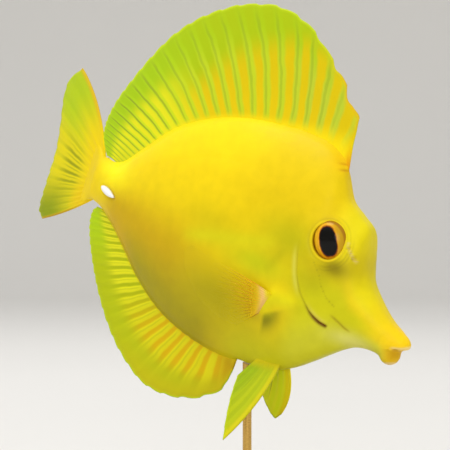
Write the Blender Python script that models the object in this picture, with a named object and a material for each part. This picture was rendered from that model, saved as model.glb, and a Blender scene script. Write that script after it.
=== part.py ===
"""A life-size yellow tang on a display stand, swimming nose down with its tail bent to its left.

The fish is drawn in its own frame, in millimetres: s runs back from the snout tip along the straight body,
h runs up, and w runs out to the fish's left. The rear half is then bent round, and the whole fish is tipped.
"""
import math

import bmesh
import bpy
from mathutils import Matrix, Vector

MM = 0.001
GAP = 0.3

# Pose: how far the nose dips, and the circle that the rear of the body is bent round.
NOSE_DOWN = math.radians(21)
BEND_START = 55.0
BEND_RADIUS = 205.0

# Body stations: place along the axis, then the back's s and h, the belly's s and h, the half width,
# the half thickness of the ridge that a fin stands on, and how lens-like the section is.
BODY = (
    (4.0, 3.6, -5.0, 6.6, -13.8, 3.7, 0.7, 0.50),
    (8.0, 8.0, -3.0, 8.8, -13.3, 4.6, 0.8, 0.50),
    (13.0, 13.2, 0.8, 12.4, -13.5, 5.5, 0.8, 0.50),
    (17.0, 18.4, 6.2, 15.8, -14.5, 6.4, 0.8, 0.50),
    (20.0, 20.8, 13.0, 19.2, -16.7, 7.2, 0.9, 0.50),
    (23.0, 22.6, 18.2, 22.6, -19.6, 8.2, 1.0, 0.48),
    (27.0, 26.8, 21.0, 26.6, -23.2, 9.0, 1.0, 0.52),
    (31.0, 31.8, 24.2, 31.0, -26.9, 9.4, 1.1, 0.57),
    (36.0, 36.4, 31.4, 36.0, -29.9, 9.7, 1.2, 0.66),
    (42.0, 42.0, 35.2, 42.0, -31.5, 9.7, 1.2, 0.74),
    (50.0, 50.0, 36.3, 50.0, -32.2, 9.7, 1.2, 0.78),
    (60.0, 60.0, 35.4, 60.0, -32.6, 9.4, 1.2, 0.80),
    (72.0, 72.0, 33.2, 71.5, -31.2, 8.6, 1.2, 0.80),
    (84.0, 84.0, 28.9, 82.0, -28.2, 7.5, 1.1, 0.78),
    (96.0, 96.0, 21.7, 93.0, -22.6, 6.1, 1.0, 0.72),
    (105.0, 105.0, 12.8, 102.5, -16.2, 4.9, 0.9, 0.66),
    (112.0, 112.0, 5.9, 110.5, -11.6, 3.9, 0.9, 0.60),
    (117.0, 117.2, 3.8, 116.4, -9.6, 3.2, 0.9, 0.55),
    (121.5, 121.8, 4.2, 121.4, -9.0, 2.6, 0.9, 0.50),
)
SNOUT_END = 4.0
TAIL_PARTING = 108.0
BODY_END = 121.5
RING = 24

# The gill opening, as the place along the axis where it crosses each height; y is 1 on the back, -1 on the belly.
GILL_OPENING = (
    (-1.0, 16.5),
    (-0.75, 18.6),
    (-0.52, 22.4),
    (-0.36, 27.4),
    (-0.22, 31.4),
    (0.0, 36.4),
    (0.22, 38.4),
    (0.6, 37.6),
    (1.0, 34.6),
)
GILL_SLIT = 0.7

# Eye: centre on the side of the head, half length, half height and depth, and how far the eyeball stands out.
# It looks a little forward, and its top leans back.
EYE_S, EYE_H = 30.7, 11.9
EYE_LONG, EYE_TALL, EYE_DEPTH = 5.0, 5.8, 2.4
EYE_STANDS_OUT = 1.3
EYE_TURN, EYE_LEAN = math.radians(6), math.radians(30)
ORBIT_RIM, ORBIT_RIM_WIDTH = 0.6, 2.2

# Nostrils: s, h and radius of the rear slit and of the front pore.
NOSTRILS = ((24.4, 12.0, 0.5), (22.0, 9.9, 0.6))
NOSTRIL_DEPTH = 0.7

# Lips: centre s and h, then half length, half height and half width. The mouth line runs between them.
UPPER_LIP = (4.5, -8.5, 4.5, 3.4, 3.3)
LOWER_LIP = (5.3, -12.0, 3.2, 3.3, 2.9)
MOUTH_FRONT, MOUTH_BACK = (0.0, -8.6), (5.0, -10.5)
SNOUT_TOP, SNOUT_FOOT = (3.6, -5.0), (6.6, -13.8)

# Fins: half thickness of the membrane, and the height of a ray above it at root and tip.
MEMBRANE = 0.28
RAY_ROOT, RAY_TIP = 0.34, 0.08
RAY_HALF = 0.2
FLESH = 3.5

# Each midline fin: rays, where some of them stand as (ray, place on the base), how deep the edge sinks behind
# a ray, and the tips as (place on the base, s, h). A hollow is deepest at a share of the gap near the next ray.
DORSAL_RAYS = 28
DORSAL_PLACES = (
    (0, 35.8), (3, 48.4), (8, 69.8), (12, 84.8), (16, 97.0), (20, 105.0), (24, 110.8), (27, 114.6)
)
DORSAL_HOLLOWS = ((0, 0.6), (1, 2.1), (2, 1.3), (3, 1.0), (4, 0.6), (6, 0.4), (27, 0.3))
DORSAL_TIPS = (
    (0, 36.9, 38.2),
    (1, 38.0, 46.1),
    (2, 44.8, 53.6),
    (3, 51.5, 59.0),
    (4, 59.8, 64.6),
    (5, 67.2, 67.2),
    (6, 74.9, 67.6),
    (7, 82.0, 65.9),
    (8, 88.5, 63.5),
    (10, 99.8, 56.7),
    (12, 109.0, 48.4),
    (14, 116.1, 38.6),
    (16, 121.5, 29.3),
    (18, 125.0, 22.3),
    (20, 126.6, 16.9),
    (22, 126.8, 12.9),
    (24, 125.9, 9.8),
    (25, 124.6, 8.2),
    (27, 120.3, 5.0),
)
DORSAL_BOWS = ((0, 0.0), (3, 0.2), (5, 1.3), (7, 2.0), (10, 1.4), (13, 0.9), (18, 0.5), (27, 0.3))
ANAL_RAYS = 24
ANAL_PLACES = ((0, 50.4), (4, 64.1), (8, 78.5), (12, 91.2), (16, 101.3), (20, 109.5), (23, 115.0))
ANAL_HOLLOWS = ((0, 0.7), (2, 0.5), (5, 0.3), (23, 0.25))
ANAL_BOWS = ((0, 0.0), (23, 0.0))
ANAL_TIPS = (
    (0, 50.2, -36.4),
    (1, 51.6, -42.8),
    (2, 57.6, -48.0),
    (3, 64.6, -51.0),
    (4, 70.9, -52.3),
    (5, 76.5, -52.3),
    (6, 81.5, -51.1),
    (8, 91.1, -46.4),
    (10, 99.1, -40.6),
    (12, 105.6, -34.6),
    (14, 110.5, -29.3),
    (16, 114.5, -24.4),
    (18, 117.7, -19.9),
    (20, 119.7, -15.8),
    (22, 119.9, -12.2),
    (23, 118.6, -10.6),
)
HOLLOW_SKEW = 3.0
CAUDAL_RAYS = 13
CAUDAL_PLACES = ((0, 0.0), (2, 0.11), (5, 0.317), (7, 0.493), (9, 0.697), (12, 1.0))
CAUDAL_HOLLOW = 0.4
CAUDAL_TIPS = (
    (-1.0, 144.4, -23.6),
    (-0.86, 148.0, -21.6),
    (-0.5, 148.8, -12.0),
    (-0.1, 149.0, -2.0),
    (0.3, 151.6, 7.0),
    (0.6, 154.2, 13.4),
    (0.8, 154.8, 18.6),
    (0.92, 152.2, 23.0),
    (1.0, 148.4, 25.8),
)
CAUDAL_BOW = 3.0

# Paired fins: the root line from its upper or front end, and the tips as (share of the root, s, h).
PECTORAL_RAYS = 14
PECTORAL_ROOT = ((40.6, -8.2), (43.4, -14.6))
PECTORAL_TIPS = (
    (0.0, 68.6, -4.2),
    (0.12, 70.2, -6.0),
    (0.3, 69.0, -11.0),
    (0.55, 63.0, -17.6),
    (0.8, 55.6, -21.2),
    (1.0, 49.6, -21.4),
)
PECTORAL_FLARE = 0.13
PELVIC_RAYS = 6
PELVIC_ROOT = (35.2, 42.6)
PELVIC_OUT = 3.0
PELVIC_SPREAD = {"right": 0.45, "left": 0.6}
PELVIC_TIPS = {
    "right": ((0.0, 39.2, -52.0), (0.3, 41.6, -47.2), (0.65, 44.0, -41.0), (1.0, 45.4, -35.4)),
    "left": ((0.0, 37.2, -45.6), (0.25, 39.2, -47.6), (0.65, 42.4, -44.0), (1.0, 44.4, -39.4)),
}
PELVIC_BOW = {"right": 1.3, "left": 1.8}

# The white blade on each side of the tail stem.
BLADE_S, BLADE_H = 111.5, -3.7
BLADE_LENGTH, BLADE_WIDTH, BLADE_HEIGHT = 7.4, 2.2, 0.9
BLADE_SLOPE = 0.14

# Stand: an oval base and one rod, which meets the belly between the pelvic and anal fins.
BASE_LENGTH, BASE_WIDTH, BASE_HEIGHT = 96.0, 62.0, 8.0
BASE_EDGE = 1.5
ROD_RADIUS = 1.3
ROD_S = 46.5
BELLY_ABOVE_FLOOR = 49.0

SKIN = ("skin", (0.93, 0.75, 0.02), 0.42, 0.0)
FIN = ("fin", (0.80, 0.78, 0.03), 0.40, 0.0)
LIP = ("lip", (0.92, 0.55, 0.05), 0.40, 0.0)
EYE = ("eye", (0.03, 0.02, 0.01), 0.06, 0.0)
BLADE = ("blade", (0.90, 0.90, 0.88), 0.30, 0.0)
BASE = ("walnut", (0.12, 0.06, 0.03), 0.45, 0.0)
ROD = ("brass", (0.72, 0.53, 0.22), 0.30, 1.0)

SIDES = {"right": -1, "left": 1}


def through(knots, x):
    """Values at x of the smooth curve through the knots, each a row of x and its values."""
    x = min(max(x, knots[0][0]), knots[-1][0])
    last = len(knots) - 1
    i = next(k for k in range(last) if x <= knots[k + 1][0])
    start, end = knots[i], knots[i + 1]
    before, after = knots[max(i - 1, 0)], knots[min(i + 2, last)]
    span = end[0] - start[0]
    t = (x - start[0]) / span
    found = []
    for k in range(1, len(start)):
        slope_in = (end[k] - before[k]) / (end[0] - before[0])
        slope_out = (after[k] - start[k]) / (after[0] - start[0])
        found.append(
            start[k] * (1 + 2 * t) * (1 - t) ** 2
            + end[k] * t * t * (3 - 2 * t)
            + span * slope_in * t * (1 - t) ** 2
            - span * slope_out * t * t * (1 - t)
        )
    return found


def bent(s, h, w):
    """A point of the straight fish as a local point of the bent one: x forward, y left, z up, in metres."""
    turn = max(s - BEND_START, 0.0) / BEND_RADIUS
    back = min(s, BEND_START) + (BEND_RADIUS - w) * math.sin(turn)
    left = BEND_RADIUS - (BEND_RADIUS - w) * math.cos(turn)
    return Vector((ROD_S - back, left, h - BELLY)) * MM


def body_point(u, y, side):
    """A point (s, h, w) of the skin: u along the axis, y from the belly at -1 to the back at 1."""
    back_s, back_h, belly_s, belly_h, half, ridge, lens = through(BODY, u)
    s = (back_s + belly_s) / 2 + y * (back_s - belly_s) / 2
    h = (back_h + belly_h) / 2 + y * (back_h - belly_h) / 2
    w = ridge + (half - ridge) * max(1 - y * y, 0.0) ** lens
    from_rim = math.hypot(s - EYE_S, h - EYE_H) - EYE_TALL - ORBIT_RIM_WIDTH / 2
    w += ORBIT_RIM * math.exp(-((from_rim / ORBIT_RIM_WIDTH) ** 2)) * (1 - y * y)
    return s, h, side * w


def half_width(s, h):
    """How far the skin stands out from the midline at a place in the side view."""
    u = s
    for _ in range(12):
        back_s, back_h, belly_s, belly_h = through(BODY, u)[:4]
        y = (2 * h - back_h - belly_h) / (back_h - belly_h)
        y = min(max(y, -1.0), 1.0)
        u += s - (back_s + belly_s) / 2 - y * (back_s - belly_s) / 2
    return body_point(u, y, 1)[2]


def back_line(u):
    """s and h of the back at u."""
    return through(BODY, u)[0:2]


def belly_line(u):
    """s and h of the belly at u."""
    return through(BODY, u)[2:4]


BELLY = belly_line(ROD_S)[1] - GAP


def material(kind):
    """One material for each finish, shared by the pieces that have it."""
    name, colour, roughness, metallic = kind
    found = bpy.data.materials.get(name)
    if found is None:
        found = bpy.data.materials.new(name)
        found.use_nodes = True
        shader = found.node_tree.nodes["Principled BSDF"]
        shader.inputs["Base Color"].default_value = (*colour, 1.0)
        shader.inputs["Roughness"].default_value = roughness
        shader.inputs["Metallic"].default_value = metallic
    return found


def new_object(name, mesh, kind, parent=None):
    """A named object in the scene, smooth but for its sharp edges."""
    mesh.materials.append(material(kind))
    mesh.shade_smooth()
    mesh.set_sharp_from_angle(angle=math.radians(40))
    thing = bpy.data.objects.new(name, mesh)
    bpy.context.scene.collection.objects.link(thing)
    thing.parent = parent
    return thing


def face_outwards(shape):
    """Turns every face of a closed bmesh outwards."""
    bmesh.ops.recalc_face_normals(shape, faces=shape.faces)
    if shape.calc_volume(signed=True) < 0:
        bmesh.ops.reverse_faces(shape, faces=shape.faces)


def closed_mesh(name, points, faces):
    """A mesh from points and faces, with its normals facing out."""
    mesh = bpy.data.meshes.new(name)
    mesh.from_pydata(points, [], faces)
    shape = bmesh.new()
    shape.from_mesh(mesh)
    bmesh.ops.remove_doubles(shape, verts=shape.verts, dist=1e-6)
    face_outwards(shape)
    shape.to_mesh(mesh)
    shape.free()
    return mesh


def two_sided_grid(name, columns, rows, point):
    """A closed sheet. point(c, r, side) gives both faces, which are split into triangles alike."""
    points = [point(c, r, side) for side in (-1, 1) for c in range(columns) for r in range(rows)]
    other = columns * rows

    def at(c, r):
        return c * rows + r

    faces = []
    for c in range(columns - 1):
        for r in range(rows - 1):
            corners = at(c, r), at(c + 1, r), at(c + 1, r + 1), at(c, r + 1)
            for a, b, d in ((0, 1, 2), (0, 2, 3)):
                face = corners[a], corners[b], corners[d]
                faces.append(face)
                faces.append(tuple(other + k for k in reversed(face)))
    rim = [at(c, 0) for c in range(columns)]
    rim += [at(columns - 1, r) for r in range(1, rows)]
    rim += [at(c, rows - 1) for c in range(columns - 2, -1, -1)]
    rim += [at(0, r) for r in range(rows - 2, 0, -1)]
    for a, b in zip(rim, rim[1:] + rim[:1]):
        faces.append((b, a, other + a))
        faces.append((b, other + a, other + b))
    return closed_mesh(name, points, faces)


def body_block(name, front, rear, steps, fish):
    """A length of the body, from front(y) to rear(y) along the axis, closed by a sheet across each end."""
    heights = [math.cos(math.pi * j / RING) for j in range(RING + 1)]

    def point(c, r, side):
        y = heights[r]
        u = front(y) + (rear(y) - front(y)) * c / steps
        return bent(*body_point(u, y, side))

    mesh = two_sided_grid(name, steps + 1, RING + 1, point)
    return new_object(name, mesh, SKIN, fish)


def gill_line(y):
    return through(GILL_OPENING, y)[0]


def ellipsoid(name, centre, halves, turn, lean, kind, fish):
    """A smooth egg at (s, h, w): turn is how far its outer face looks forward, lean how far its top leans back."""
    shape = bmesh.new()
    bmesh.ops.create_uvsphere(shape, u_segments=18, v_segments=10, radius=1.0)
    mesh = bpy.data.meshes.new(name)
    long, tall, deep = halves
    shape.transform(Matrix.Rotation(math.radians(90), 4, "X"))
    shape.transform(Matrix.Diagonal((long * MM, deep * MM, tall * MM, 1.0)))
    shape.transform(Matrix.Rotation(-lean, 4, "Y"))
    shape.transform(Matrix.Rotation(turn, 4, "Z"))
    shape.transform(Matrix.Translation(bent(*centre)))
    face_outwards(shape)
    shape.to_mesh(mesh)
    shape.free()
    return new_object(name, mesh, kind, fish)


def as_cutter(thing):
    thing.hide_render = True
    thing.display_type = "WIRE"
    return thing


def cut_away(thing, cutters):
    """Takes a collection of cutters out of a piece."""
    group = bpy.data.collections.new(thing.name + "_cutters")
    group.hide_render = True
    bpy.context.scene.collection.children.link(group)
    for cutter in cutters:
        bpy.context.scene.collection.objects.unlink(cutter)
        group.objects.link(as_cutter(cutter))
    cut = thing.modifiers.new("cut", "BOOLEAN")
    cut.operation = "DIFFERENCE"
    cut.operand_type = "COLLECTION"
    cut.collection = group
    cut.solver = "EXACT"


def make_head(fish):
    """Head with a socket for each eye and two nostrils before it."""
    head = body_block("head", lambda y: SNOUT_END, gill_line, 22, fish)
    cutters = []
    for side, sign in SIDES.items():
        out = half_width(EYE_S, EYE_H) + EYE_STANDS_OUT - EYE_DEPTH
        centre = EYE_S, EYE_H, sign * out
        eye = EYE_LONG, EYE_TALL, EYE_DEPTH
        socket = tuple(size + GAP for size in eye)
        turn = -sign * EYE_TURN
        ellipsoid("eye_" + side, centre, eye, turn, EYE_LEAN, EYE, fish)
        cutters.append(ellipsoid("socket_" + side, centre, socket, turn, EYE_LEAN, SKIN, fish))
        for k, (s, h, radius) in enumerate(NOSTRILS):
            place = s, h, sign * half_width(s, h)
            pit = radius, radius * 1.2, NOSTRIL_DEPTH
            cutters.append(ellipsoid(f"nostril_{side}_{k}", place, pit, 0.0, 0.0, SKIN, fish))
    cut_away(head, cutters)


def make_lip(name, lip, above, fish):
    """A lip: an egg cut flat where it meets the snout, and along the mouth line."""
    s, h, long, tall, wide = lip
    shape = bmesh.new()
    bmesh.ops.create_uvsphere(shape, u_segments=20, v_segments=12, radius=1.0)
    shape.transform(Matrix.Diagonal((long * MM, wide * MM, tall * MM, 1.0)))
    shape.transform(Matrix.Translation(bent(s, h, 0.0)))

    def cut(start, end, keep, gap):
        """Keeps what lies on the keep side of a line in the side view, gap millimetres off it."""
        along = bent(*end, 0.0) - bent(*start, 0.0)
        normal = along.cross(Vector((0.0, 1.0, 0.0))).normalized() * keep
        place = bent(*start, 0.0) + normal * gap * MM
        edges = bmesh.ops.bisect_plane(
            shape,
            geom=shape.verts[:] + shape.edges[:] + shape.faces[:],
            plane_co=place,
            plane_no=normal,
            clear_inner=True,
        )["geom_cut"]
        bmesh.ops.holes_fill(shape, edges=[e for e in edges if isinstance(e, bmesh.types.BMEdge)])

    cut(MOUTH_FRONT, MOUTH_BACK, -1 if above else 1, GAP / 2)
    cut(SNOUT_TOP, SNOUT_FOOT, 1, GAP)
    face_outwards(shape)
    mesh = bpy.data.meshes.new(name)
    shape.to_mesh(mesh)
    shape.free()
    return new_object(name, mesh, LIP, fish)


def ray_columns(rays):
    """Columns of a fin's mesh as (place in rays, 1 on a ray's crest or 0 at its foot)."""
    columns = []
    for ray in range(rays):
        for step, crest in ((-RAY_HALF, 0), (0.0, 1), (RAY_HALF, 0)):
            if 0 <= ray + step <= rays - 1:
                columns.append((ray + step, crest))
    return columns


def fin_mesh(name, rays, rows, root, tip, middle, notch, base_half, bow=lambda q: 0.0):
    """A fin's membrane with a ridge for each ray.

    root(q) and tip(q) give s and h at the share q of the base; middle(s, h, q, r) is where the sheet lies
    in w; notch(q) is how far the edge falls short of the ray tips; base_half(q) is the flesh at the root.
    """
    columns = ray_columns(rays)

    def point(c, r, side):
        place, crest = columns[c]
        q, reach = place / (rays - 1), r / (rows - 1)
        start, end = Vector(root(q)), Vector(tip(q))
        ray = end - start
        along = reach * (1.0 if crest else 1.0 - notch(q) / ray.length)
        across = Vector((-ray.y, ray.x)).normalized()
        s, h = start + ray * along + across * bow(q) * 4 * along * (1 - along)
        ridge = (RAY_ROOT + (RAY_TIP - RAY_ROOT) * along) if crest else 0.0
        flesh = max(base_half(q) - MEMBRANE, 0.0) * math.exp(-((along * ray.length / FLESH) ** 2))
        half = MEMBRANE + max(ridge, flesh)
        return bent(s, h, middle(s, h, q, along, side * half))

    return two_sided_grid(name, len(columns), rows, point)


def hollow(hollows, place):
    """How deep the edge sinks at a place counted in rays: nothing behind a ray, most just before the next."""
    gap = math.floor(place + 1e-6)
    return through(hollows, gap)[0] * math.sin(math.pi * max(place - gap, 0.0) ** HOLLOW_SKEW)


def lifted(line, u, up):
    """A place just off the back or belly line, GAP away from it."""
    s, h = line(u)
    ahead_s, ahead_h = line(u + 0.5)
    behind_s, behind_h = line(u - 0.5)
    along = Vector((ahead_s - behind_s, ahead_h - behind_h)).normalized()
    return s - up * along.y * GAP, h + up * along.x * GAP


def make_midline_fin(name, line, up, rays, places, hollows, tips, bows, rows, fish):
    """The dorsal or anal fin, which stands on the ridge of the back or belly."""

    def base(q):
        return through(places, q * (rays - 1))[0]

    def root(q):
        return lifted(line, base(q), up)

    def tip(q):
        return through(tips, q * (rays - 1))

    mesh = fin_mesh(
        name,
        rays,
        rows,
        root,
        tip,
        lambda s, h, q, r, off: off,
        lambda q: hollow(hollows, q * (rays - 1)),
        lambda q: through(BODY, base(q))[5] - 0.1,
        lambda q: through(bows, q * (rays - 1))[0],
    )
    return new_object(name, mesh, FIN, fish)


def make_caudal_fin(fish):
    """The tail fin, fanned from the end of the tail stem."""
    end = BODY_END + GAP

    def height(q):
        return 2 * through(CAUDAL_PLACES, q * (CAUDAL_RAYS - 1))[0] - 1

    def root(q):
        s, h, _ = body_point(BODY_END, height(q), 1)
        return s + end - BODY_END, h

    mesh = fin_mesh(
        "caudal_fin",
        CAUDAL_RAYS,
        7,
        root,
        lambda q: through(CAUDAL_TIPS, height(q)),
        lambda s, h, q, r, off: off,
        lambda q: CAUDAL_HOLLOW,
        lambda q: body_point(BODY_END, height(q), 1)[2],
        lambda q: CAUDAL_BOW * max(height(q), 0.0) ** 2 - 0.8 * max(-height(q), 0.0) ** 2,
    )
    return new_object("caudal_fin", mesh, FIN, fish)


def make_pectoral_fin(side, sign, fish):
    """A pectoral fin, laid back along the flank and flaring away from it."""

    def root(q):
        (top_s, top_h), (low_s, low_h) = PECTORAL_ROOT
        return top_s + (low_s - top_s) * q, top_h + (low_h - top_h) * q

    def middle(s, h, q, r, off):
        start_s, start_h = root(q)
        far = math.hypot(s - start_s, h - start_h)
        inner = half_width(s, h) + GAP + PECTORAL_FLARE * far
        thick = 2 * abs(off)
        return sign * (inner + (thick if off > 0 else 0.0))

    mesh = fin_mesh(
        "pectoral_fin_" + side,
        PECTORAL_RAYS,
        5,
        root,
        lambda q: through(PECTORAL_TIPS, q),
        middle,
        lambda q: 0.3,
        lambda q: 0.9,
    )
    return new_object("pectoral_fin_" + side, mesh, FIN, fish)


def belly_height(s, w):
    """Height of the belly's skin at a place seen from below."""
    low, high = -1.0, 0.0
    for _ in range(30):
        y = (low + high) / 2
        if abs(body_point(s, y, 1)[2]) < w:
            low = y
        else:
            high = y
    return body_point(s, low, 1)[1]


def make_pelvic_fin(side, sign, fish):
    """A pelvic fin, which hangs from the belly and spreads outwards."""
    front, rear = PELVIC_ROOT

    def root(q):
        s = front + (rear - front) * q
        return s, belly_height(s, PELVIC_OUT) - GAP

    def middle(s, h, q, r, off):
        drop = max(root(q)[1] - h, 0.0)
        return sign * (PELVIC_OUT + PELVIC_SPREAD[side] * drop + off)

    mesh = fin_mesh(
        "pelvic_fin_" + side,
        PELVIC_RAYS,
        7,
        root,
        lambda q: through(PELVIC_TIPS[side], q),
        middle,
        lambda q: 0.4,
        lambda q: 0.75,
        lambda q: -PELVIC_BOW[side] * (1 - q),
    )
    for vertex in mesh.vertices:
        s = ROD_S - vertex.co.x / MM
        ceiling = (belly_height(s, abs(vertex.co.y) / MM) - GAP - BELLY) * MM
        vertex.co.z = min(vertex.co.z, ceiling)
    return new_object("pelvic_fin_" + side, mesh, FIN, fish)


def make_blade(side, sign, fish):
    """The folded blade that gives surgeonfishes their name, lying on the side of the tail stem."""
    columns, rows = 9, 5

    def point(c, r, face):
        a, b = 2 * c / (columns - 1) - 1, 2 * r / (rows - 1) - 1
        narrow = math.sqrt(max(1 - a * a, 0.04))
        s = BLADE_S + a * BLADE_LENGTH / 2
        h = BLADE_H + (s - BLADE_S) * BLADE_SLOPE + b * narrow * BLADE_WIDTH / 2
        dome = 0.35 + (BLADE_HEIGHT - 0.35) * narrow * (1 - b * b)
        return bent(s, h, sign * (half_width(s, h) + GAP + (dome if face > 0 else 0.0)))

    mesh = two_sided_grid("tail_blade_" + side, columns, rows, point)
    return new_object("tail_blade_" + side, mesh, BLADE, fish)


def make_stand():
    """An oval base and one upright rod, its top cut to the slope of the belly."""
    shape = bmesh.new()
    bmesh.ops.create_cone(
        shape, cap_ends=True, segments=48, radius1=0.5, radius2=0.5, depth=BASE_HEIGHT * MM
    )
    shape.transform(Matrix.Diagonal((BASE_LENGTH * MM, BASE_WIDTH * MM, 1.0, 1.0)))
    shape.transform(Matrix.Translation((0.0, 0.0, BASE_HEIGHT / 2 * MM)))
    mesh = bpy.data.meshes.new("stand_base")
    shape.to_mesh(mesh)
    shape.free()
    base = new_object("stand_base", mesh, BASE)
    bevel = base.modifiers.new("edge", "BEVEL")
    bevel.width = BASE_EDGE * MM
    bevel.segments = 2
    bevel.limit_method = "ANGLE"

    foot = (BASE_HEIGHT + GAP) * MM
    top = BELLY_ABOVE_FLOOR * MM
    shape = bmesh.new()
    bmesh.ops.create_cone(
        shape, cap_ends=True, segments=16, radius1=ROD_RADIUS * MM, radius2=ROD_RADIUS * MM, depth=top - foot
    )
    shape.transform(Matrix.Translation((0.0, 0.0, (top + foot) / 2)))
    belly_rise = (belly_line(ROD_S - 2)[1] - belly_line(ROD_S + 2)[1]) / 4
    slope = math.tan(math.atan(belly_rise) - NOSE_DOWN)
    for vertex in shape.verts:
        if vertex.co.z > (top + foot) / 2:
            vertex.co.z += vertex.co.x * slope
    mesh = bpy.data.meshes.new("stand_rod")
    shape.to_mesh(mesh)
    shape.free()
    new_object("stand_rod", mesh, ROD)


def make_fish():
    fish = bpy.data.objects.new("fish_pose", None)
    fish.location = (0.0, 0.0, BELLY_ABOVE_FLOOR * MM)
    fish.rotation_euler = (0.0, NOSE_DOWN, 0.0)
    bpy.context.scene.collection.objects.link(fish)
    make_head(fish)
    make_lip("upper_lip", UPPER_LIP, True, fish)
    make_lip("lower_lip", LOWER_LIP, False, fish)
    body_block("torso", lambda y: gill_line(y) + GILL_SLIT, lambda y: TAIL_PARTING, 22, fish)
    body_block("tail_stem", lambda y: TAIL_PARTING + GAP, lambda y: BODY_END, 5, fish)
    make_midline_fin(
        "dorsal_fin",
        back_line,
        1,
        DORSAL_RAYS,
        DORSAL_PLACES,
        DORSAL_HOLLOWS,
        DORSAL_TIPS,
        DORSAL_BOWS,
        8,
        fish,
    )
    make_midline_fin(
        "anal_fin", belly_line, -1, ANAL_RAYS, ANAL_PLACES, ANAL_HOLLOWS, ANAL_TIPS, ANAL_BOWS, 7, fish
    )
    make_caudal_fin(fish)
    for side, sign in SIDES.items():
        make_pectoral_fin(side, sign, fish)
        make_pelvic_fin(side, sign, fish)
        make_blade(side, sign, fish)


def main():
    for thing in list(bpy.data.objects):
        bpy.data.objects.remove(thing)
    make_fish()
    make_stand()
    bpy.context.view_layer.update()


main()
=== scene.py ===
"""Dresses the life-size yellow tang model: one skin over head and body, eyes, fins, tail blades and stand.

The fish is worked in its own straight frame, in millimetres: s runs back from the snout tip, h runs up, and
w runs out to the fish's left. The last step of each piece bends it and tips it nose down, as the solids are.
"""
import math

import bmesh
import bpy
import numpy as np
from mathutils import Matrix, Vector


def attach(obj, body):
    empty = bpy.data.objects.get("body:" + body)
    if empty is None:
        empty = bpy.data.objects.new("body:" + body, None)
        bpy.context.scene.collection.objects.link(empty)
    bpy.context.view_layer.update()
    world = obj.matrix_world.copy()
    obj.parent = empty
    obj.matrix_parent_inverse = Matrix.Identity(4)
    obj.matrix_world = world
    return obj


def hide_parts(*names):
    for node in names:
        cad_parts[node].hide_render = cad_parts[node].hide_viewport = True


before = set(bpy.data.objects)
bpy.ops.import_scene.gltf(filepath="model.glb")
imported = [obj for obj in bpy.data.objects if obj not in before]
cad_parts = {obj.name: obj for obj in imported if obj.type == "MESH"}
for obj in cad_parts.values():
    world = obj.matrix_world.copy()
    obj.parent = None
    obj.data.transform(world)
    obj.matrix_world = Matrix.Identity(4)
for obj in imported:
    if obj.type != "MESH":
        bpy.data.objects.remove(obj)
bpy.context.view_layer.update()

# Camera: level with the fish, off its right front, with a long lens, as the photograph was taken.
# Its place is given from a point in the middle of the body, in metres.
VIEW_TURN = math.radians(30)
VIEW_DISTANCE = 0.600
VIEW_CENTRE = Vector((-0.00104, 0.00006, 0.08397))
VIEW_RIGHT, VIEW_UP = -0.00553, 0.005125
LENS = 165.4

camera = bpy.data.objects.new("camera", bpy.data.cameras.new("camera"))
bpy.context.scene.collection.objects.link(camera)
bpy.context.scene.camera = camera
camera.data.lens = LENS
camera.data.sensor_width = 36.0
camera.data.clip_start, camera.data.clip_end = 0.01, 20.0
towards_camera = Vector((math.sin(VIEW_TURN), -math.cos(VIEW_TURN), 0.0))
to_the_right = Vector((math.cos(VIEW_TURN), math.sin(VIEW_TURN), 0.0))
camera.location = (
    VIEW_CENTRE + towards_camera * VIEW_DISTANCE + to_the_right * VIEW_RIGHT + Vector((0, 0, VIEW_UP))
)
camera.rotation_euler = (-towards_camera).to_track_quat("-Z", "Y").to_euler()


# Stand base: an oval of solid walnut, turned smooth and oiled, which carries the rod in a bored hole.
# The grain runs along its length; oil leaves it a low satin gloss.
def linear(hex_colour):
    """An sRGB hex colour as the linear values a shader takes."""
    parts = [int(hex_colour[k : k + 2], 16) / 255 for k in (1, 3, 5)]
    return (*[c / 12.92 if c <= 0.04045 else ((c + 0.055) / 1.055) ** 2.4 for c in parts], 1.0)


def add_node(tree, kind, feeds=(), **settings):
    """One node with its settings; feeds gives its inputs, by name or number, a value or a socket each."""
    made = tree.nodes.new(kind)
    for name, value in settings.items():
        setattr(made, name, value)
    for key, value in dict(feeds).items():
        if isinstance(value, bpy.types.NodeSocket):
            tree.links.new(value, made.inputs[key])
        else:
            made.inputs[key].default_value = value
    return made


def new_material(name):
    """An empty material, its node tree and its surface output."""
    made = bpy.data.materials.new(name)
    made.use_nodes = True
    made.node_tree.nodes.clear()
    return made, made.node_tree, made.node_tree.nodes.new("ShaderNodeOutputMaterial").inputs["Surface"]


def clothe(thing, material):
    """Gives a piece its one material."""
    thing.data.materials.clear()
    thing.data.materials.append(material)


# A noise texture's values lie mostly between these.
NOISE_SPAN = {"From Min": 0.3, "From Max": 0.7}

walnut, tree, surface = new_material("oiled walnut")
place = add_node(tree, "ShaderNodeTexCoord").outputs["Object"]
along_grain = add_node(tree, "ShaderNodeMapping", {"Vector": place, "Scale": (0.12, 1.0, 1.0)}).outputs[0]
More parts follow.
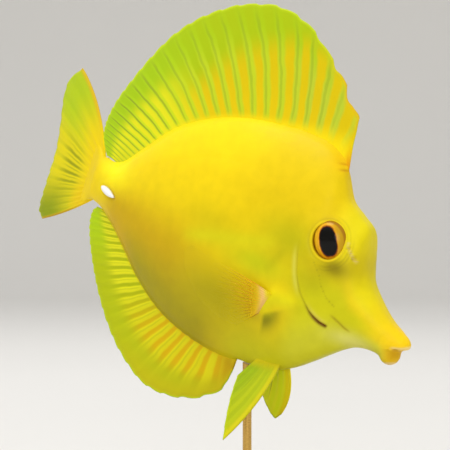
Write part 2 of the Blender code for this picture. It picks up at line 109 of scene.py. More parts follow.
# Growth rings about 8 mm apart, which waver, and pores about 1 mm wide.
waver = add_node(tree, "ShaderNodeTexNoise", {"Vector": along_grain, "Scale": 45.0, "Detail": 4.0}).outputs[0]
rings = add_node(
    tree,
    "ShaderNodeTexWave",
    {"Vector": along_grain, "Scale": 40.0, "Distortion": 5.0, "Detail": 2.0, "Detail Scale": 1.4},
    bands_direction="Y",
).outputs["Fac"]
pores = add_node(tree, "ShaderNodeTexNoise", {"Vector": along_grain, "Scale": 900.0, "Detail": 2.0}).outputs[0]
tone = add_node(
    tree, "ShaderNodeMix", {0: rings, 6: linear("#3A2114"), 7: linear("#6B4228")}, data_type="RGBA"
).outputs[2]
tone = add_node(
    tree, "ShaderNodeMix", {0: waver, 6: tone, 7: linear("#4C2C1A")}, data_type="RGBA"
).outputs[2]
bump = add_node(tree, "ShaderNodeBump", {"Strength": 0.25, "Distance": 0.0002, "Height": pores}).outputs[0]
satin = add_node(
    tree, "ShaderNodeMapRange", {"Value": pores, **NOISE_SPAN, "To Min": 0.32, "To Max": 0.48}
).outputs[0]
shader = add_node(
    tree, "ShaderNodeBsdfPrincipled", {"Base Color": tone, "Roughness": satin, "Normal": bump, "IOR": 1.48}
)
tree.links.new(shader.outputs[0], surface)
clothe(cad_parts["stand_base"], walnut)

# Stand rod: a brass rod, drawn and lightly polished, its top filed to the slope of the belly that it carries.
# Fine lines run round it from the polishing.
brass, tree, surface = new_material("polished brass rod")
place = add_node(tree, "ShaderNodeTexCoord").outputs["Object"]
round_lines = add_node(tree, "ShaderNodeMapping", {"Vector": place, "Scale": (0.05, 0.05, 1.0)}).outputs[0]
scratches = add_node(
    tree, "ShaderNodeTexNoise", {"Vector": round_lines, "Scale": 4000.0, "Detail": 2.0}
).outputs[0]
polish = add_node(
    tree, "ShaderNodeMapRange", {"Value": scratches, **NOISE_SPAN, "To Min": 0.2, "To Max": 0.36}
).outputs[0]
tarnish = add_node(tree, "ShaderNodeTexNoise", {"Vector": place, "Scale": 160.0, "Detail": 3.0}).outputs[0]
tone = add_node(
    tree, "ShaderNodeMix", {0: tarnish, 6: linear("#D8B060"), 7: linear("#BC9448")}, data_type="RGBA"
).outputs[2]
shader = add_node(tree, "ShaderNodeBsdfPrincipled", {"Base Color": tone, "Roughness": polish, "Metallic": 1.0})
tree.links.new(shader.outputs[0], surface)
clothe(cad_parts["stand_rod"], brass)

# Skin: one cast skin over snout, lips, head, trunk and tail stem, smoothed, carved and painted by hand.
# Body stations: place along the axis, the back's s and h, the belly's s and h, the half width, the half
# thickness of the ridge that a fin stands on, and how lens-like the section is. They are the solids' own.
BODY = (
    (4.0, 3.6, -5.0, 6.6, -13.8, 3.7, 0.7, 0.50),
    (8.0, 8.0, -3.0, 8.8, -13.3, 4.6, 0.8, 0.50),
    (13.0, 13.2, 0.8, 12.4, -13.5, 5.5, 0.8, 0.50),
    (17.0, 18.4, 6.2, 15.8, -14.5, 6.4, 0.8, 0.50),
    (20.0, 20.8, 13.0, 19.2, -16.7, 7.2, 0.9, 0.50),
    (23.0, 22.6, 18.2, 22.6, -19.6, 8.2, 1.0, 0.48),
    (27.0, 26.8, 21.0, 26.6, -23.2, 9.0, 1.0, 0.52),
    (31.0, 31.8, 24.2, 31.0, -26.9, 9.4, 1.1, 0.57),
    (36.0, 36.4, 31.4, 36.0, -29.9, 9.7, 1.2, 0.66),
    (42.0, 42.0, 35.2, 42.0, -31.5, 9.7, 1.2, 0.74),
    (50.0, 50.0, 36.3, 50.0, -32.2, 9.7, 1.2, 0.78),
    (60.0, 60.0, 35.4, 60.0, -32.6, 9.4, 1.2, 0.80),
    (72.0, 72.0, 33.2, 71.5, -31.2, 8.6, 1.2, 0.80),
    (84.0, 84.0, 28.9, 82.0, -28.2, 7.5, 1.1, 0.78),
    (96.0, 96.0, 21.7, 93.0, -22.6, 6.1, 1.0, 0.72),
    (105.0, 105.0, 12.8, 102.5, -16.2, 4.9, 0.9, 0.66),
    (112.0, 112.0, 5.9, 110.5, -11.6, 3.9, 0.9, 0.60),
    (117.0, 117.2, 3.8, 116.4, -9.6, 3.2, 0.9, 0.55),
    (121.5, 121.8, 4.2, 121.4, -9.0, 2.6, 0.9, 0.50),
)
BODY_END = 121.5
# The pose: tipped nose down over the rod, and bent to its left from BEND_START back, on a wide circle. Loose
# pieces of the solids stand a gap apart.
NOSE_DOWN = math.radians(21)
BEND_START, BEND_RADIUS = 55.0, 205.0
ROD_S = 46.5
BELLY_ABOVE_FLOOR = 49.0
GAP = 0.3
# The eye: its place, half its length, height and depth, how far it stands out, how far it looks forward and
# leans back, and the rim of the orbit. Each lip is an egg: its place, half its length, height and width.
EYE_S, EYE_H = 30.7, 11.9
EYE_LONG, EYE_TALL, EYE_DEPTH = 5.0, 5.8, 2.4
EYE_STANDS_OUT, EYE_TURN, EYE_LEAN = 1.3, math.radians(6), math.radians(30)
ORBIT_RIM, ORBIT_RIM_WIDTH = 0.6, 2.2
UPPER_LIP = (4.5, -8.5, 4.5, 3.4, 3.3)
LOWER_LIP = (5.3, -12.0, 3.2, 3.3, 2.9)
MOUTH = ((-1.0, -8.0), (0.0, -8.5), (1.4, -9.3), (3.0, -9.8), (4.6, -10.2))
SOCKET_DEPTH, NOSTRIL_DEPTH, SLIT_DEPTH, CLEFT_DEPTH, BLADE_GROOVE = 2.4, 0.6, 0.8, 0.6, 0.3
# The skin runs on over the roots of the fins, as far out and along as this. It is first laid as rings of
# points, then grown as one net of this grain, and smoothed, more on the snout.
FIN_ROOT, TAIL_ROOT = 1.2, 7.0
DORSAL_SPAN, ANAL_SPAN = (34.0, 122.5), (49.0, 115.5)
BODY_RINGS, RING_POINTS, RIM_ROWS, REAR_ROWS = 260, 121, 8, 20
LIP_SEGMENTS, LIP_RINGS = 48, 32
SKIN_GRAIN, HEAD_END = 0.57, 40.0
SMOOTH_PULL, SMOOTH_ROUNDS, SNOUT_ROUNDS, SNOUT_FADE = 0.5, 3, 15, (15.0, 9.0)


def through(knots, x):
    """Values at each x of the smooth curve through the knots, each a row of x and its values."""
    knots = np.asarray(knots, float)
    place, value = knots[:, 0], knots[:, 1:]
    slope = np.empty_like(value)
    slope[1:-1] = (value[2:] - value[:-2]) / (place[2:] - place[:-2])[:, None]
    slope[0] = (value[1] - value[0]) / (place[1] - place[0])
    slope[-1] = (value[-1] - value[-2]) / (place[-1] - place[-2])
    x = np.clip(np.asarray(x, float), place[0], place[-1])
    i = np.clip(np.searchsorted(place, x) - 1, 0, len(place) - 2)
    span = (place[i + 1] - place[i])[..., None]
    t = ((x - place[i]) / span[..., 0])[..., None]
    return (
        value[i] * (1 + 2 * t) * (1 - t) ** 2
        + value[i + 1] * t * t * (3 - 2 * t)
        + span * slope[i] * t * (1 - t) ** 2
        - span * slope[i + 1] * t * t * (1 - t)
    )


def body_point(u, y):
    """s, h and half width of the body: u along the axis, y from the belly at -1 to the back at 1."""
    u, y = np.broadcast_arrays(np.asarray(u, float), np.asarray(y, float))
    back_s, back_h, belly_s, belly_h, half, ridge, lens = np.moveaxis(through(BODY, u), -1, 0)
    s = (back_s + belly_s) / 2 + y * (back_s - belly_s) / 2
    h = (back_h + belly_h) / 2 + y * (back_h - belly_h) / 2
    w = ridge + (half - ridge) * np.maximum(1 - y * y, 0.0) ** lens
    from_rim = np.hypot(s - EYE_S, h - EYE_H) - EYE_TALL - ORBIT_RIM_WIDTH / 2
    return s, h, w + ORBIT_RIM * np.exp(-((from_rim / ORBIT_RIM_WIDTH) ** 2)) * (1 - y * y)


def half_width(s, h):
    """How far the body stands out from the midline at places in the side view."""
    s, h = np.broadcast_arrays(np.asarray(s, float), np.asarray(h, float))
    u = s
    for _ in range(12):
        back_s, back_h, belly_s, belly_h = np.moveaxis(through(BODY, u), -1, 0)[:4]
        y = np.clip((2 * h - back_h - belly_h) / (back_h - belly_h), -1.0, 1.0)
        u = u + s - (back_s + belly_s) / 2 - y * (back_s - belly_s) / 2
    return body_point(u, y)[2]


def back_line(u):
    """s and h of the back at places along the axis."""
    return through(BODY, u)[..., 0:2]


def belly_line(u):
    """s and h of the belly at places along the axis."""
    return through(BODY, u)[..., 2:4]


BELLY = float(belly_line(ROD_S)[1]) - GAP


def posed(places):
    """Places in the straight fish, rows of s, h and w in millimetres, as points of the posed one in metres."""
    s, h, w = np.asarray(places, float).reshape(-1, 3).T
    turn = np.maximum(s - BEND_START, 0.0) / BEND_RADIUS
    x = ROD_S - np.minimum(s, BEND_START) - (BEND_RADIUS - w) * np.sin(turn)
    left = BEND_RADIUS - (BEND_RADIUS - w) * np.cos(turn)
    z = h - BELLY
    c, n = math.cos(NOSE_DOWN), math.sin(NOSE_DOWN)
    return np.stack([x * c + z * n, left, z * c - x * n + BELLY_ABOVE_FLOOR], 1) * 0.001


def ramp(x, start, end):
    """0 up to start, 1 from end on, and smooth between."""
    t = np.clip((x - start) / (end - start), 0.0, 1.0)
    return t * t * (3 - 2 * t)


def hill(x, width):
    """A smooth rise of 1 at 0 that dies away over the width."""
    return np.exp(-((x / width) ** 2))


def off_line(knots, s, h):
    """How far places are off a smooth line in the side view, and how far along it, from 0 to 1.

    The distance is above 0 on the line's left as it runs, with s to the right and h up.
    """
    knots = np.asarray(knots, float)
    steps = np.linspace(0, len(knots) - 1, 8 * len(knots))
    line = through(np.column_stack([np.arange(len(knots)), knots]), steps)
    span = np.diff(line, axis=0)
    rel = np.stack([s, h], -1)[:, None] - line[:-1]
    share = np.clip((rel * span).sum(-1) / (span * span).sum(-1), 0.0, 1.0)
    gap = rel - share[..., None] * span
    far = np.hypot(gap[..., 0], gap[..., 1])
    best = far.argmin(1)
    rows = np.arange(len(best))
    turn = span[best, 0] * rel[rows, best, 1] - span[best, 1] * rel[rows, best, 0]
    return np.where(turn < 0, -1, 1) * far[rows, best], (best + share[rows, best]) / len(span)


def plain_mesh(name, points, faces):
    """A mesh from points and faces, smooth all over."""
    mesh = bpy.data.meshes.new(name)
    mesh.from_pydata(np.asarray(points).tolist(), [], faces)
    mesh.shade_smooth()
    return mesh


def fish_piece(name, mesh, material, slot, *nodes):
    """A finished piece of the fish, which rides on the one body and stands for its solids."""
    thing = bpy.data.objects.new(name, mesh)
    bpy.context.scene.collection.objects.link(thing)
    clothe(thing, material)
    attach(thing, "root")
    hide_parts(*nodes)


def keep_zones(mesh, **zones):
    """Keeps a number for each point of a mesh under each name, for its material to read."""
    for name, values in zones.items():
        kept = mesh.attributes.new(name, "FLOAT", "POINT")
        kept.data.foreach_set("value", np.asarray(values, np.float32).ravel())


def rough_body():
    """The trunk as a closed loft, drawn out thin over the roots of the fins, with the lips let in as eggs."""
    shape = bmesh.new()
    u = np.linspace(BODY[0][0], BODY_END, BODY_RINGS)[:, None]
    y = np.cos(np.linspace(0, math.pi, RING_POINTS))[None]
    s, h, w = body_point(u, y)
    thin = np.linspace(1.0, 0.0, RIM_ROWS)[None, :-1]
    rims = []
    for line, up, (first, last) in ((back_line, 1, DORSAL_SPAN), (belly_line, -1, ANAL_SPAN)):
        along = line(u[:, 0] + 0.5) - line(u[:, 0] - 0.5)
        across = up * np.stack([-along[:, 1], along[:, 0]], -1) / np.hypot(along[:, 0], along[:, 1])[:, None]
        rise = FIN_ROOT * ramp(u, first, first + 2.5) * ramp(u, last, last - 2.5) * thin
        place = line(u[:, 0])[:, None] + across[:, None] * rise[..., None]
        half = 0.2 + (w[:, :1] - 0.2) * (1 - thin) ** 1.5
        rims.append((place[..., 0], place[..., 1], half))
    (top_s, top_h, top_w), (low_s, low_h, low_w) = rims
    s = np.concatenate([top_s, s, low_s[:, ::-1]], 1)
    h = np.concatenate([top_h, h, low_h[:, ::-1]], 1)
    w = np.concatenate([top_w, w, low_w[:, ::-1]], 1)
    rear = np.linspace(0.0, 1.0, REAR_ROWS)[1:, None]
    s = np.concatenate([s, s[-1] + TAIL_ROOT * rear])
    h = np.concatenate([h, h[-1] + 0.7 * rear * (h[-1] - h[-1].mean())])
    w = np.concatenate([w, 0.15 + (w[-1] - 0.15) * (1 - rear) ** 1.4])
    ring = np.concatenate([np.stack([s, h, -w], -1), np.stack([s, h, w], -1)[:, ::-1]], axis=1)
    verts = [[shape.verts.new(p) for p in row] for row in ring]
    for a, b in zip(verts, verts[1:]):
        for k in range(len(a)):
            j = (k + 1) % len(a)
            shape.faces.new((a[k], a[j], b[j], b[k]))
    shape.faces.new(list(reversed(verts[0])))
    shape.faces.new(verts[-1])
    for lip_s, lip_h, long, tall, wide in (UPPER_LIP, LOWER_LIP):
        egg = bmesh.ops.create_uvsphere(shape, u_segments=LIP_SEGMENTS, v_segments=LIP_RINGS, radius=1.0)
        for v in egg["verts"]:
            s, h = lip_s + v.co.x * long, lip_h + v.co.y * tall
            if (lip_s, lip_h) == UPPER_LIP[:2] and s < MOUTH[-1][0]:
                h = max(h, float(through(MOUTH, s)[0]) - 0.15)
            v.co = (s, h, v.co.z * wide)
    bmesh.ops.recalc_face_normals(shape, faces=shape.faces)
    return shape


def grown_skin(shape):
    """One skin of even small faces over the rough body, with the head's faces four times as fine."""
    mesh = bpy.data.meshes.new("rough body")
    shape.to_mesh(mesh)
    shape.free()
    rough = bpy.data.objects.new("rough body", mesh)
    bpy.context.scene.collection.objects.link(rough)
    grow = rough.modifiers.new("one skin", "REMESH")
    grow.mode = "VOXEL"
    grow.voxel_size = SKIN_GRAIN
    grown = bpy.data.meshes.new_from_object(rough.evaluated_get(bpy.context.evaluated_depsgraph_get()))
    bpy.data.objects.remove(rough)
    shape = bmesh.new()
    shape.from_mesh(grown)
    bpy.data.meshes.remove(grown)
    edges = {e for f in shape.faces if f.calc_center_median().x < HEAD_END for e in f.edges}
    bmesh.ops.subdivide_edges(shape, edges=list(edges), cuts=1, use_grid_fill=True)
    skin = bpy.data.meshes.new("skin")
    shape.to_mesh(skin)
    shape.free()
    return skin


def numbers(rows, key, width, kind=float):
    """What a mesh keeps under a key for each of its rows, such as its points, as an array."""
    kept = np.zeros(len(rows) * width, kind)
    rows.foreach_get(key, kept)
    return kept.reshape(-1, width)


def relaxed(points, edges, pull, rounds):
    """Draws each point towards the middle of its neighbours, by its own pull, again and again."""
    a, b = edges.T
    count = np.bincount(edges.ravel(), minlength=len(points))
    for _ in range(rounds):
        near = [
            np.bincount(a, points[b, k], len(points)) + np.bincount(b, points[a, k], len(points))
            for k in range(3)
        ]
        points = points + pull[:, None] * (np.stack(near, 1) / count[:, None] - points)
    return points


skin = grown_skin(rough_body())
points = numbers(skin.vertices, "co", 3)
edges = numbers(skin.edges, "vertices", 2, int)
points = relaxed(points, edges, np.full(len(points), SMOOTH_PULL), SMOOTH_ROUNDS)
points = relaxed(points, edges, SMOOTH_PULL * ramp(points[:, 0], *SNOUT_FADE), SNOUT_ROUNDS)
skin.vertices.foreach_set("co", points.ravel())
skin.update()
normals = numbers(skin.vertices, "normal", 3)
s, h, w = points.T
flat = np.abs(normals[:, 2])

# The eye socket, its rim, and the soft folds of skin below and before it.
lean_c, lean_n = math.cos(EYE_LEAN), math.sin(EYE_LEAN)
eye_x = ((s - EYE_S) * lean_c - (h - EYE_H) * lean_n) / EYE_LONG
eye_y = ((s - EYE_S) * lean_n + (h - EYE_H) * lean_c) / EYE_TALL
from_eye = np.hypot(eye_x, eye_y)
below_eye = ramp((-0.4 * eye_x - 0.9 * eye_y) / np.maximum(from_eye, 0.01), 0.35, 0.9)
before_eye = ramp((-0.95 * eye_x + 0.3 * eye_y) / np.maximum(from_eye, 0.01), 0.6, 0.95)
relief = -SOCKET_DEPTH * ramp(from_eye, 0.88, 0.82) + 0.2 * hill(from_eye - 0.95, 0.06)
relief += -0.06 * hill(from_eye - 1.07, 0.045)
for fold, share in ((1.27, 0.1), (1.42, 0.08)):
    relief -= share * hill(from_eye - fold, 0.05) * below_eye

# The nostrils, a pore with a raised rim before a narrow slit.
for nostril_s, nostril_h, radius in ((24.4, 12.0, 0.45), (22.0, 9.9, 0.5)):
    far = np.hypot(s - nostril_s, (h - nostril_h) / 1.2)
    relief += -NOSTRIL_DEPTH * hill(far, radius) + 0.14 * hill(far - radius * 1.9, 0.35)

# The gill cover: its edge stands over a slit, deepest at its lower end, and a fold runs ahead of it.
GILL_SLIT = (
    (38.4, 11.0), (37.8, 6.0), (36.3, 1.1), (34.8, -2.0), (33.3, -4.4),
    (31.2, -6.6), (28.5, -9.0), (25.6, -10.4), (22.8, -10.9),
)
COVER_FOLD = ((30.4, 4.2), (29.3, 2.0), (28.1, -0.4), (26.6, -1.8), (25.3, -3.0), (22.8, -4.5))
LOWER_FOLD = ((23.6, -6.9), (21.0, -8.1), (18.4, -9.4), (15.9, -10.1))
behind_slit, down_slit = off_line(GILL_SLIT, s, h)
slit_ends = ramp(down_slit, 0.0, 0.25) * ramp(down_slit, 1.0, 0.97)
slit_deep = 0.12 + 0.88 * ramp(down_slit, 0.45, 0.9)
relief += slit_ends * np.where(
    behind_slit < 0, 0.34 * hill(behind_slit + 0.5, 2.6), -0.24 * hill(behind_slit, 2.4)
)
relief -= SLIT_DEPTH * slit_ends * slit_deep * hill(behind_slit, 0.3)
off_fold, along_fold = off_line(COVER_FOLD, s, h)
relief -= 0.08 * hill(off_fold, 0.3) * ramp(along_fold, 0.0, 0.2) * ramp(along_fold, 1.0, 0.7)
off_lower, along_lower = off_line(LOWER_FOLD, s, h)
relief -= 0.16 * hill(off_lower, 0.3) * ramp(along_lower, 0.0, 0.25) * ramp(along_lower, 1.0, 0.75)

# The mouth: a cleft between the lips, and a soft crease where each lip leaves the snout.
off_mouth, along_mouth = off_line(MOUTH, s, h)
relief -= CLEFT_DEPTH * hill(off_mouth + 0.1, 0.28) * ramp(along_mouth, 1.0, 0.85)
LIP_CREASE = ((5.4, -4.6), (6.8, -6.8), (7.8, -9.0), (8.2, -11.2), (7.8, -13.4))
off_crease, along_crease = off_line(LIP_CREASE, s, h)
relief -= 0.1 * hill(off_crease, 0.6) * ramp(along_crease, 0.1, 0.5)

# Two short creases at the nape, before the dorsal fin.
NAPE_FOLDS = (((39.2, 32.6), (37.2, 32.6), (35.4, 33.2)), ((38.0, 31.0), (36.4, 31.0), (34.9, 31.4)))
in_nape = np.zeros(len(s))
for fold in NAPE_FOLDS:
    off_nape, along_nape = off_line(fold, s, h)
    in_nape += hill(off_nape, 0.35) * ramp(along_nape, 0.0, 0.6)
relief -= 0.14 * in_nape

# The sensory line, a fold at the shoulder, the fleshy root of the pectoral fin, and the tail blade's groove.
SIDE_LINE = ((40.0, 14.5), (50.0, 20.0), (62.0, 22.6), (75.0, 20.6), (90.0, 13.8), (104.0, 5.0), (118.0, -1.6))
relief -= 0.05 * hill(off_line(SIDE_LINE, s, h)[0], 0.35)
SHOULDER_FOLD = ((40.6, 6.6), (42.6, 3.6), (44.4, 0.0), (46.4, -4.0))
off_shoulder, along_shoulder = off_line(SHOULDER_FOLD, s, h)
in_shoulder = ramp(along_shoulder, 0.0, 0.4) * ramp(along_shoulder, 1.0, 0.8)
relief -= 0.16 * ramp(off_shoulder, -0.6, 0.6) * hill(off_shoulder, 3.0) * in_shoulder
PECTORAL_ROOT = ((40.6, -8.2), (43.4, -14.6))
relief += 0.6 * hill(off_line(PECTORAL_ROOT, s, h)[0], 1.9)
FLESH_WEDGE = ((32.6, -7.8), (36.0, -8.4), (40.6, -9.8), (42.6, -11.4))
off_wedge, along_wedge = off_line(FLESH_WEDGE, s, h)
relief += 0.3 * hill(off_wedge, 2.0 + 1.6 * along_wedge)
BLADE_S, BLADE_H, BLADE_SLOPE = 111.5, -3.7, 0.14
blade_x = (s - BLADE_S) / 4.6
blade_y = (h - BLADE_H - (s - BLADE_S) * BLADE_SLOPE) / 1.7
from_blade = np.hypot(blade_x, blade_y)
relief += -BLADE_GROOVE * ramp(from_blade, 1.0, 0.8) + 0.08 * hill(from_blade - 1.15, 0.14)

finished = points + normals * (relief * ramp(flat, 0.25, 0.6))[:, None]
skin.vertices.foreach_set("co", posed(finished).astype(np.float32).ravel())
skin.shade_smooth()
skin.update()

# Painted resin skin under a satin varnish: warm yellow on the back, cooler and greener low down and on the
# cheek, with the grain of very small scales, drawn 0.7 mm wide so that it shows at all. Light and shade are
# painted into it as well: a painted highlight on the back and the tail stem, and painted shade on the lower
# rear flank, under the pectoral fin, below the eye, and in the creases, gill slit, mouth and eye socket.
back_h = through([(row[1], row[2]) for row in BODY], s)[:, 0]
belly_h = through([(row[3], row[4]) for row in BODY], s)[:, 0]
high = (h - belly_h) / np.maximum(back_h - belly_h, 1.0)


def spot(at_s, at_h, width, long=1.0, tall=1.0):
    """A soft spot of paint in the side view, and how far it is drawn out along and up."""
    return hill(np.hypot((s - at_s) / long, (h - at_h) / tall), width)


PALE_STREAK = ((74.0, -2.8), (66.2, -0.4), (56.5, 2.2), (46.0, 5.4))
NOSTRIL_STREAK = ((25.2, 13.4), (24.8, 12.4), (23.7, 11.4), (22.4, 10.1), (21.4, 9.2))
PORE_LINE_S, PORE_LINE_H = (22.6, 25.4, 28.0, 29.6, 32.0), (-4.5, -3.0, -0.4, 2.4, 5.0)
pores = sum(
    spot(pore_s, np.interp(pore_s, PORE_LINE_S, PORE_LINE_H), 0.22) * (0.6 + 0.4 * math.sin(5.0 * pore_s))
    for pore_s in np.linspace(32.0, 22.6, 19)
)
ahead = 42.6 - s
under = -14.3 + 0.6 * ahead - h

# Each zone's name, its colour, and where it lies, as a share from 0 to 1.
SKIN_ZONES = (
    ("cheek", "#D2CC08", ramp(s, 40.0, 30.0) * ramp(high, 0.72, 0.45)),
    ("cheek_top", "#B8B406", spot(31.5, 0.5, 5.0, long=1.1)),
    ("belly", "#CCC60E", ramp(high, 0.3, 0.05) * ramp(s, 66.0, 46.0)),
    ("throat", "#D8D42C", ramp(high, 0.4, 0.1) * ramp(s, 38.0, 30.0) * ramp(s, 10.0, 15.0)),
    ("golden_rear", "#CCA802", ramp(s, 58.0, 80.0) * ramp(high, 0.62, 0.3) * ramp(s, 116.0, 106.0)),
    # olive tone of the lower rear flank, with painted shade from the light above laid into it
    ("low_rear_shade", "#A89A04", ramp(s, 50.0, 66.0) * ramp(high, 0.34, 0.08) * ramp(s, 104.0, 90.0)),
    # painted shadow of the pectoral fin: darker olive on the flank under it
    ("under_fin_shadow", "#B2A404", spot(60.0, -16.0, 9.0, long=1.6)),
    ("mid_flank", "#D0BC04", 0.8 * spot(66.0, 3.5, 5.5, long=1.7)),
    ("green_flank", "#CACA08", spot(49.0, -1.5, 4.6, long=2.2)),
    ("upper_flank", "#F6D604", ramp(high, 0.5, 0.85) * ramp(s, 34.0, 46.0)),
    ("upper_front", "#E6C604", ramp(high, 0.45, 0.75) * ramp(s, 76.0, 50.0) * ramp(s, 26.0, 33.0)),
    ("temple", "#C2B806", spot(41.0, 8.0, 7.0, long=1.6)),
    # brighter yellow on top of the back: partly its own colour, partly a painted top light
    (
        "back_tint_and_top_light",
        "#FFE208",
        ramp(high, 0.7, 1.0) * (1 - 0.75 * ramp(s, 74.0, 46.0)) * ramp(s, 123.0, 116.0),
    ),
    # painted highlight on the top of the tail stem
    ("stem_highlight", "#FFF20C", spot(112.0, 4.0, 5.0, long=1.4)),
    ("nape", "#F2BC04", 0.6 * spot(36.4, 33.4, 3.0, long=1.5)),
    # painted shade in the two creases at the nape
    ("nape_fold_shade", "#CC8C04", np.clip(in_nape, 0, 1) * 0.6),
    ("forehead", "#EAD80A", ramp(s, 34.0, 26.0) * ramp(high, 0.55, 0.8)),
    ("before_cheek", "#D8C408", spot(20.8, 8.4, 3.8, tall=1.3)),
    (
        "pale_streak",
        "#DACE0C",
        hill(off_line(PALE_STREAK, s, h)[0], 2.3) * ramp(s, 80.0, 68.0) * ramp(s, 43.0, 49.0),
    ),
    (
        "root_shade",
        "#827E04",
        ramp(ahead, -0.5, 0.9)
        * hill(np.maximum(ahead - 1.6, 0), 3.4)
        * ramp(under, -0.4, 1.4)
        * hill(np.maximum(under - 2.2, 0), 3.6),
    ),
    # painted shade along the fold at the shoulder
    ("shoulder_fold_shade", "#AEA806", 0.4 * hill(off_shoulder, 1.5) * in_shoulder),
    (
        "root_flesh",
        "#E6DA0A",
        np.clip(hill(off_wedge, 1.8 + 1.4 * along_wedge) * ramp(along_wedge, 0.0, 0.3), 0, 1),
    ),
    (
        "cover_edge",
        "#DEDC5C",
        0.5 * hill(behind_slit - 1.0, 0.6) * ramp(down_slit, 0.05, 0.2) * ramp(down_slit, 0.6, 0.35),
    ),
    ("snout", "#F2D20A", ramp(s, 17.0, 6.0) * ramp(high, 0.15, 0.45)),
    ("snout_tip", "#FFD40C", ramp(s, 8.5, 3.0)),
    ("chin", "#E6E270", spot(15.0, -12.6, 2.5, long=2.6)),
    ("lower_lip", "#CE9E04", spot(3.4, -11.2, 2.3, tall=1.3) * ramp(off_mouth, 0.0, -0.5)),
    ("lip_edge", "#F8DC90", hill(off_mouth - 0.35, 0.4) * ramp(s, 5.0, 3.4)),
    ("lower_lip_rim", "#F0D494", 0.8 * ramp(0.934 * h + 0.358 * s, -11.3, -12.0) * ramp(s, 8.0, 6.0)),
    ("eye_shade", "#928402", spot(25.9, 5.7, 3.0, long=1.35)),
    ("eye_rim", "#E8CC0C", hill(from_eye - 0.97, 0.05)),
    # painted shade in the creases round and below the eye
    (
        "eye_crease_shade",
        "#8E8008",
        0.16 * hill(from_eye - 1.07, 0.04)
        + 0.3 * below_eye * (hill(from_eye - 1.27, 0.045) + hill(from_eye - 1.42, 0.045))
        + 0.2 * before_eye * hill(from_eye - 1.24, 0.04),
    ),
    (
        "pink_streak",
        "#D8BE80",
        hill(off_line(NOSTRIL_STREAK, s, h)[0], 0.4) * (0.4 + 0.25 * np.sin(9.0 * h + 2.0 * s)),
    ),
    ("pores", "#A89C0A", np.clip(pores, 0, 1)),
    # painted shade in the fold low on the cheek
    ("low_fold_shade", "#B0A010", hill(off_lower, 0.35) * ramp(along_lower, 0.0, 0.3) * ramp(along_lower, 1.0, 0.7)),
    (
        "slit_lip",
        "#DAD040",
        hill(behind_slit + 1.0, 0.6) * ramp(down_slit, 0.6, 0.8) * ramp(down_slit, 1.0, 0.9),
    ),
    # painted shade in the gill slit, darkest at its deep lower end
    (
        "slit",
        "#8A7408",
        hill(behind_slit, 0.24 + 0.3 * ramp(down_slit, 0.6, 0.9)) * slit_ends * (0.6 * slit_deep),
    ),
    # painted shade: red-brown deep in the lower end of the gill slit
    ("slit_end_shade", "#7A3C0C", hill(behind_slit, 0.6) * ramp(down_slit, 0.62, 0.84) * ramp(down_slit, 1.0, 0.96)),
    # painted shadow under the upper lip, along the cleft of the mouth
    ("mouth_shadow", "#B07C0A", 0.6 * hill(off_mouth + 0.25, 0.2) * ramp(along_mouth, 1.0, 0.8)),
    # painted shade: brown-gold on the socket's wall round the glass eye
    ("socket", "#B0840A", ramp(from_eye, 0.91, 0.87)),
    ("tail_root", "#EED008", ramp(s, 117.0, 124.0)),
)
keep_zones(skin, **{zone: share for zone, colour, share in SKIN_ZONES})


def layered(tree, ground, zones):
    """The ground colour with each zone's colour laid over it by the share that the mesh keeps for it."""
    tone = ground
    for zone, colour in zones:
        share = add_node(tree, "ShaderNodeAttribute", attribute_name=zone).outputs["Fac"]
        tone = add_node(
            tree, "ShaderNodeMix", {0: share, 6: tone, 7: linear(colour)}, data_type="RGBA"
        ).outputs[2]
    return tone


skin_paint, tree, surface = new_material("varnished yellow skin")
tone = layered(tree, linear("#ECCE04"), [(zone, colour) for zone, colour, share in SKIN_ZONES])
place = add_node(tree, "ShaderNodeTexCoord").outputs["Object"]
mottle = add_node(tree, "ShaderNodeTexNoise", {"Vector": place, "Scale": 260.0, "Detail": 4.0}).outputs[0]
shade = add_node(
    tree, "ShaderNodeMapRange", {"Value": mottle, **NOISE_SPAN, "To Min": 0.955, "To Max": 1.03}
).outputs[0]
tone = add_node(tree, "ShaderNodeVectorMath", {0: tone, "Scale": shade}, operation="SCALE").outputs[0]
scales = add_node(
    tree, "ShaderNodeTexVoronoi", {"Vector": place, "Scale": 1400.0}, feature="SMOOTH_F1"
).outputs["Distance"]
bump = add_node(tree, "ShaderNodeBump", {"Strength": 0.22, "Distance": 0.00012, "Height": scales}).outputs[0]
gloss = add_node(
    tree, "ShaderNodeMapRange", {"Value": mottle, **NOISE_SPAN, "To Min": 0.36, "To Max": 0.46}
).outputs[0]
shader = add_node(
    tree,
    "ShaderNodeBsdfPrincipled",
    {"Base Color": tone, "Roughness": gloss, "Normal": bump, "Specular IOR Level": 0.15},
)
tree.links.new(shader.outputs[0], surface)
fish_piece("skin", skin, skin_paint, "skin", "head", "torso", "tail_stem", "upper_lip", "lower_lip")

# Eyes: glass eyes set in the sockets, painted behind, as a taxidermist fits. The pupil is an upright egg in a
# gold iris with a brown-red inner edge, browner where it meets the skin, and the glass over it is clear.
PUPIL_LONG, PUPIL_TALL, PUPIL_BLUNT = 0.48, 0.69, 2.4
EYE_SEGMENTS, EYE_RINGS = 96, 64


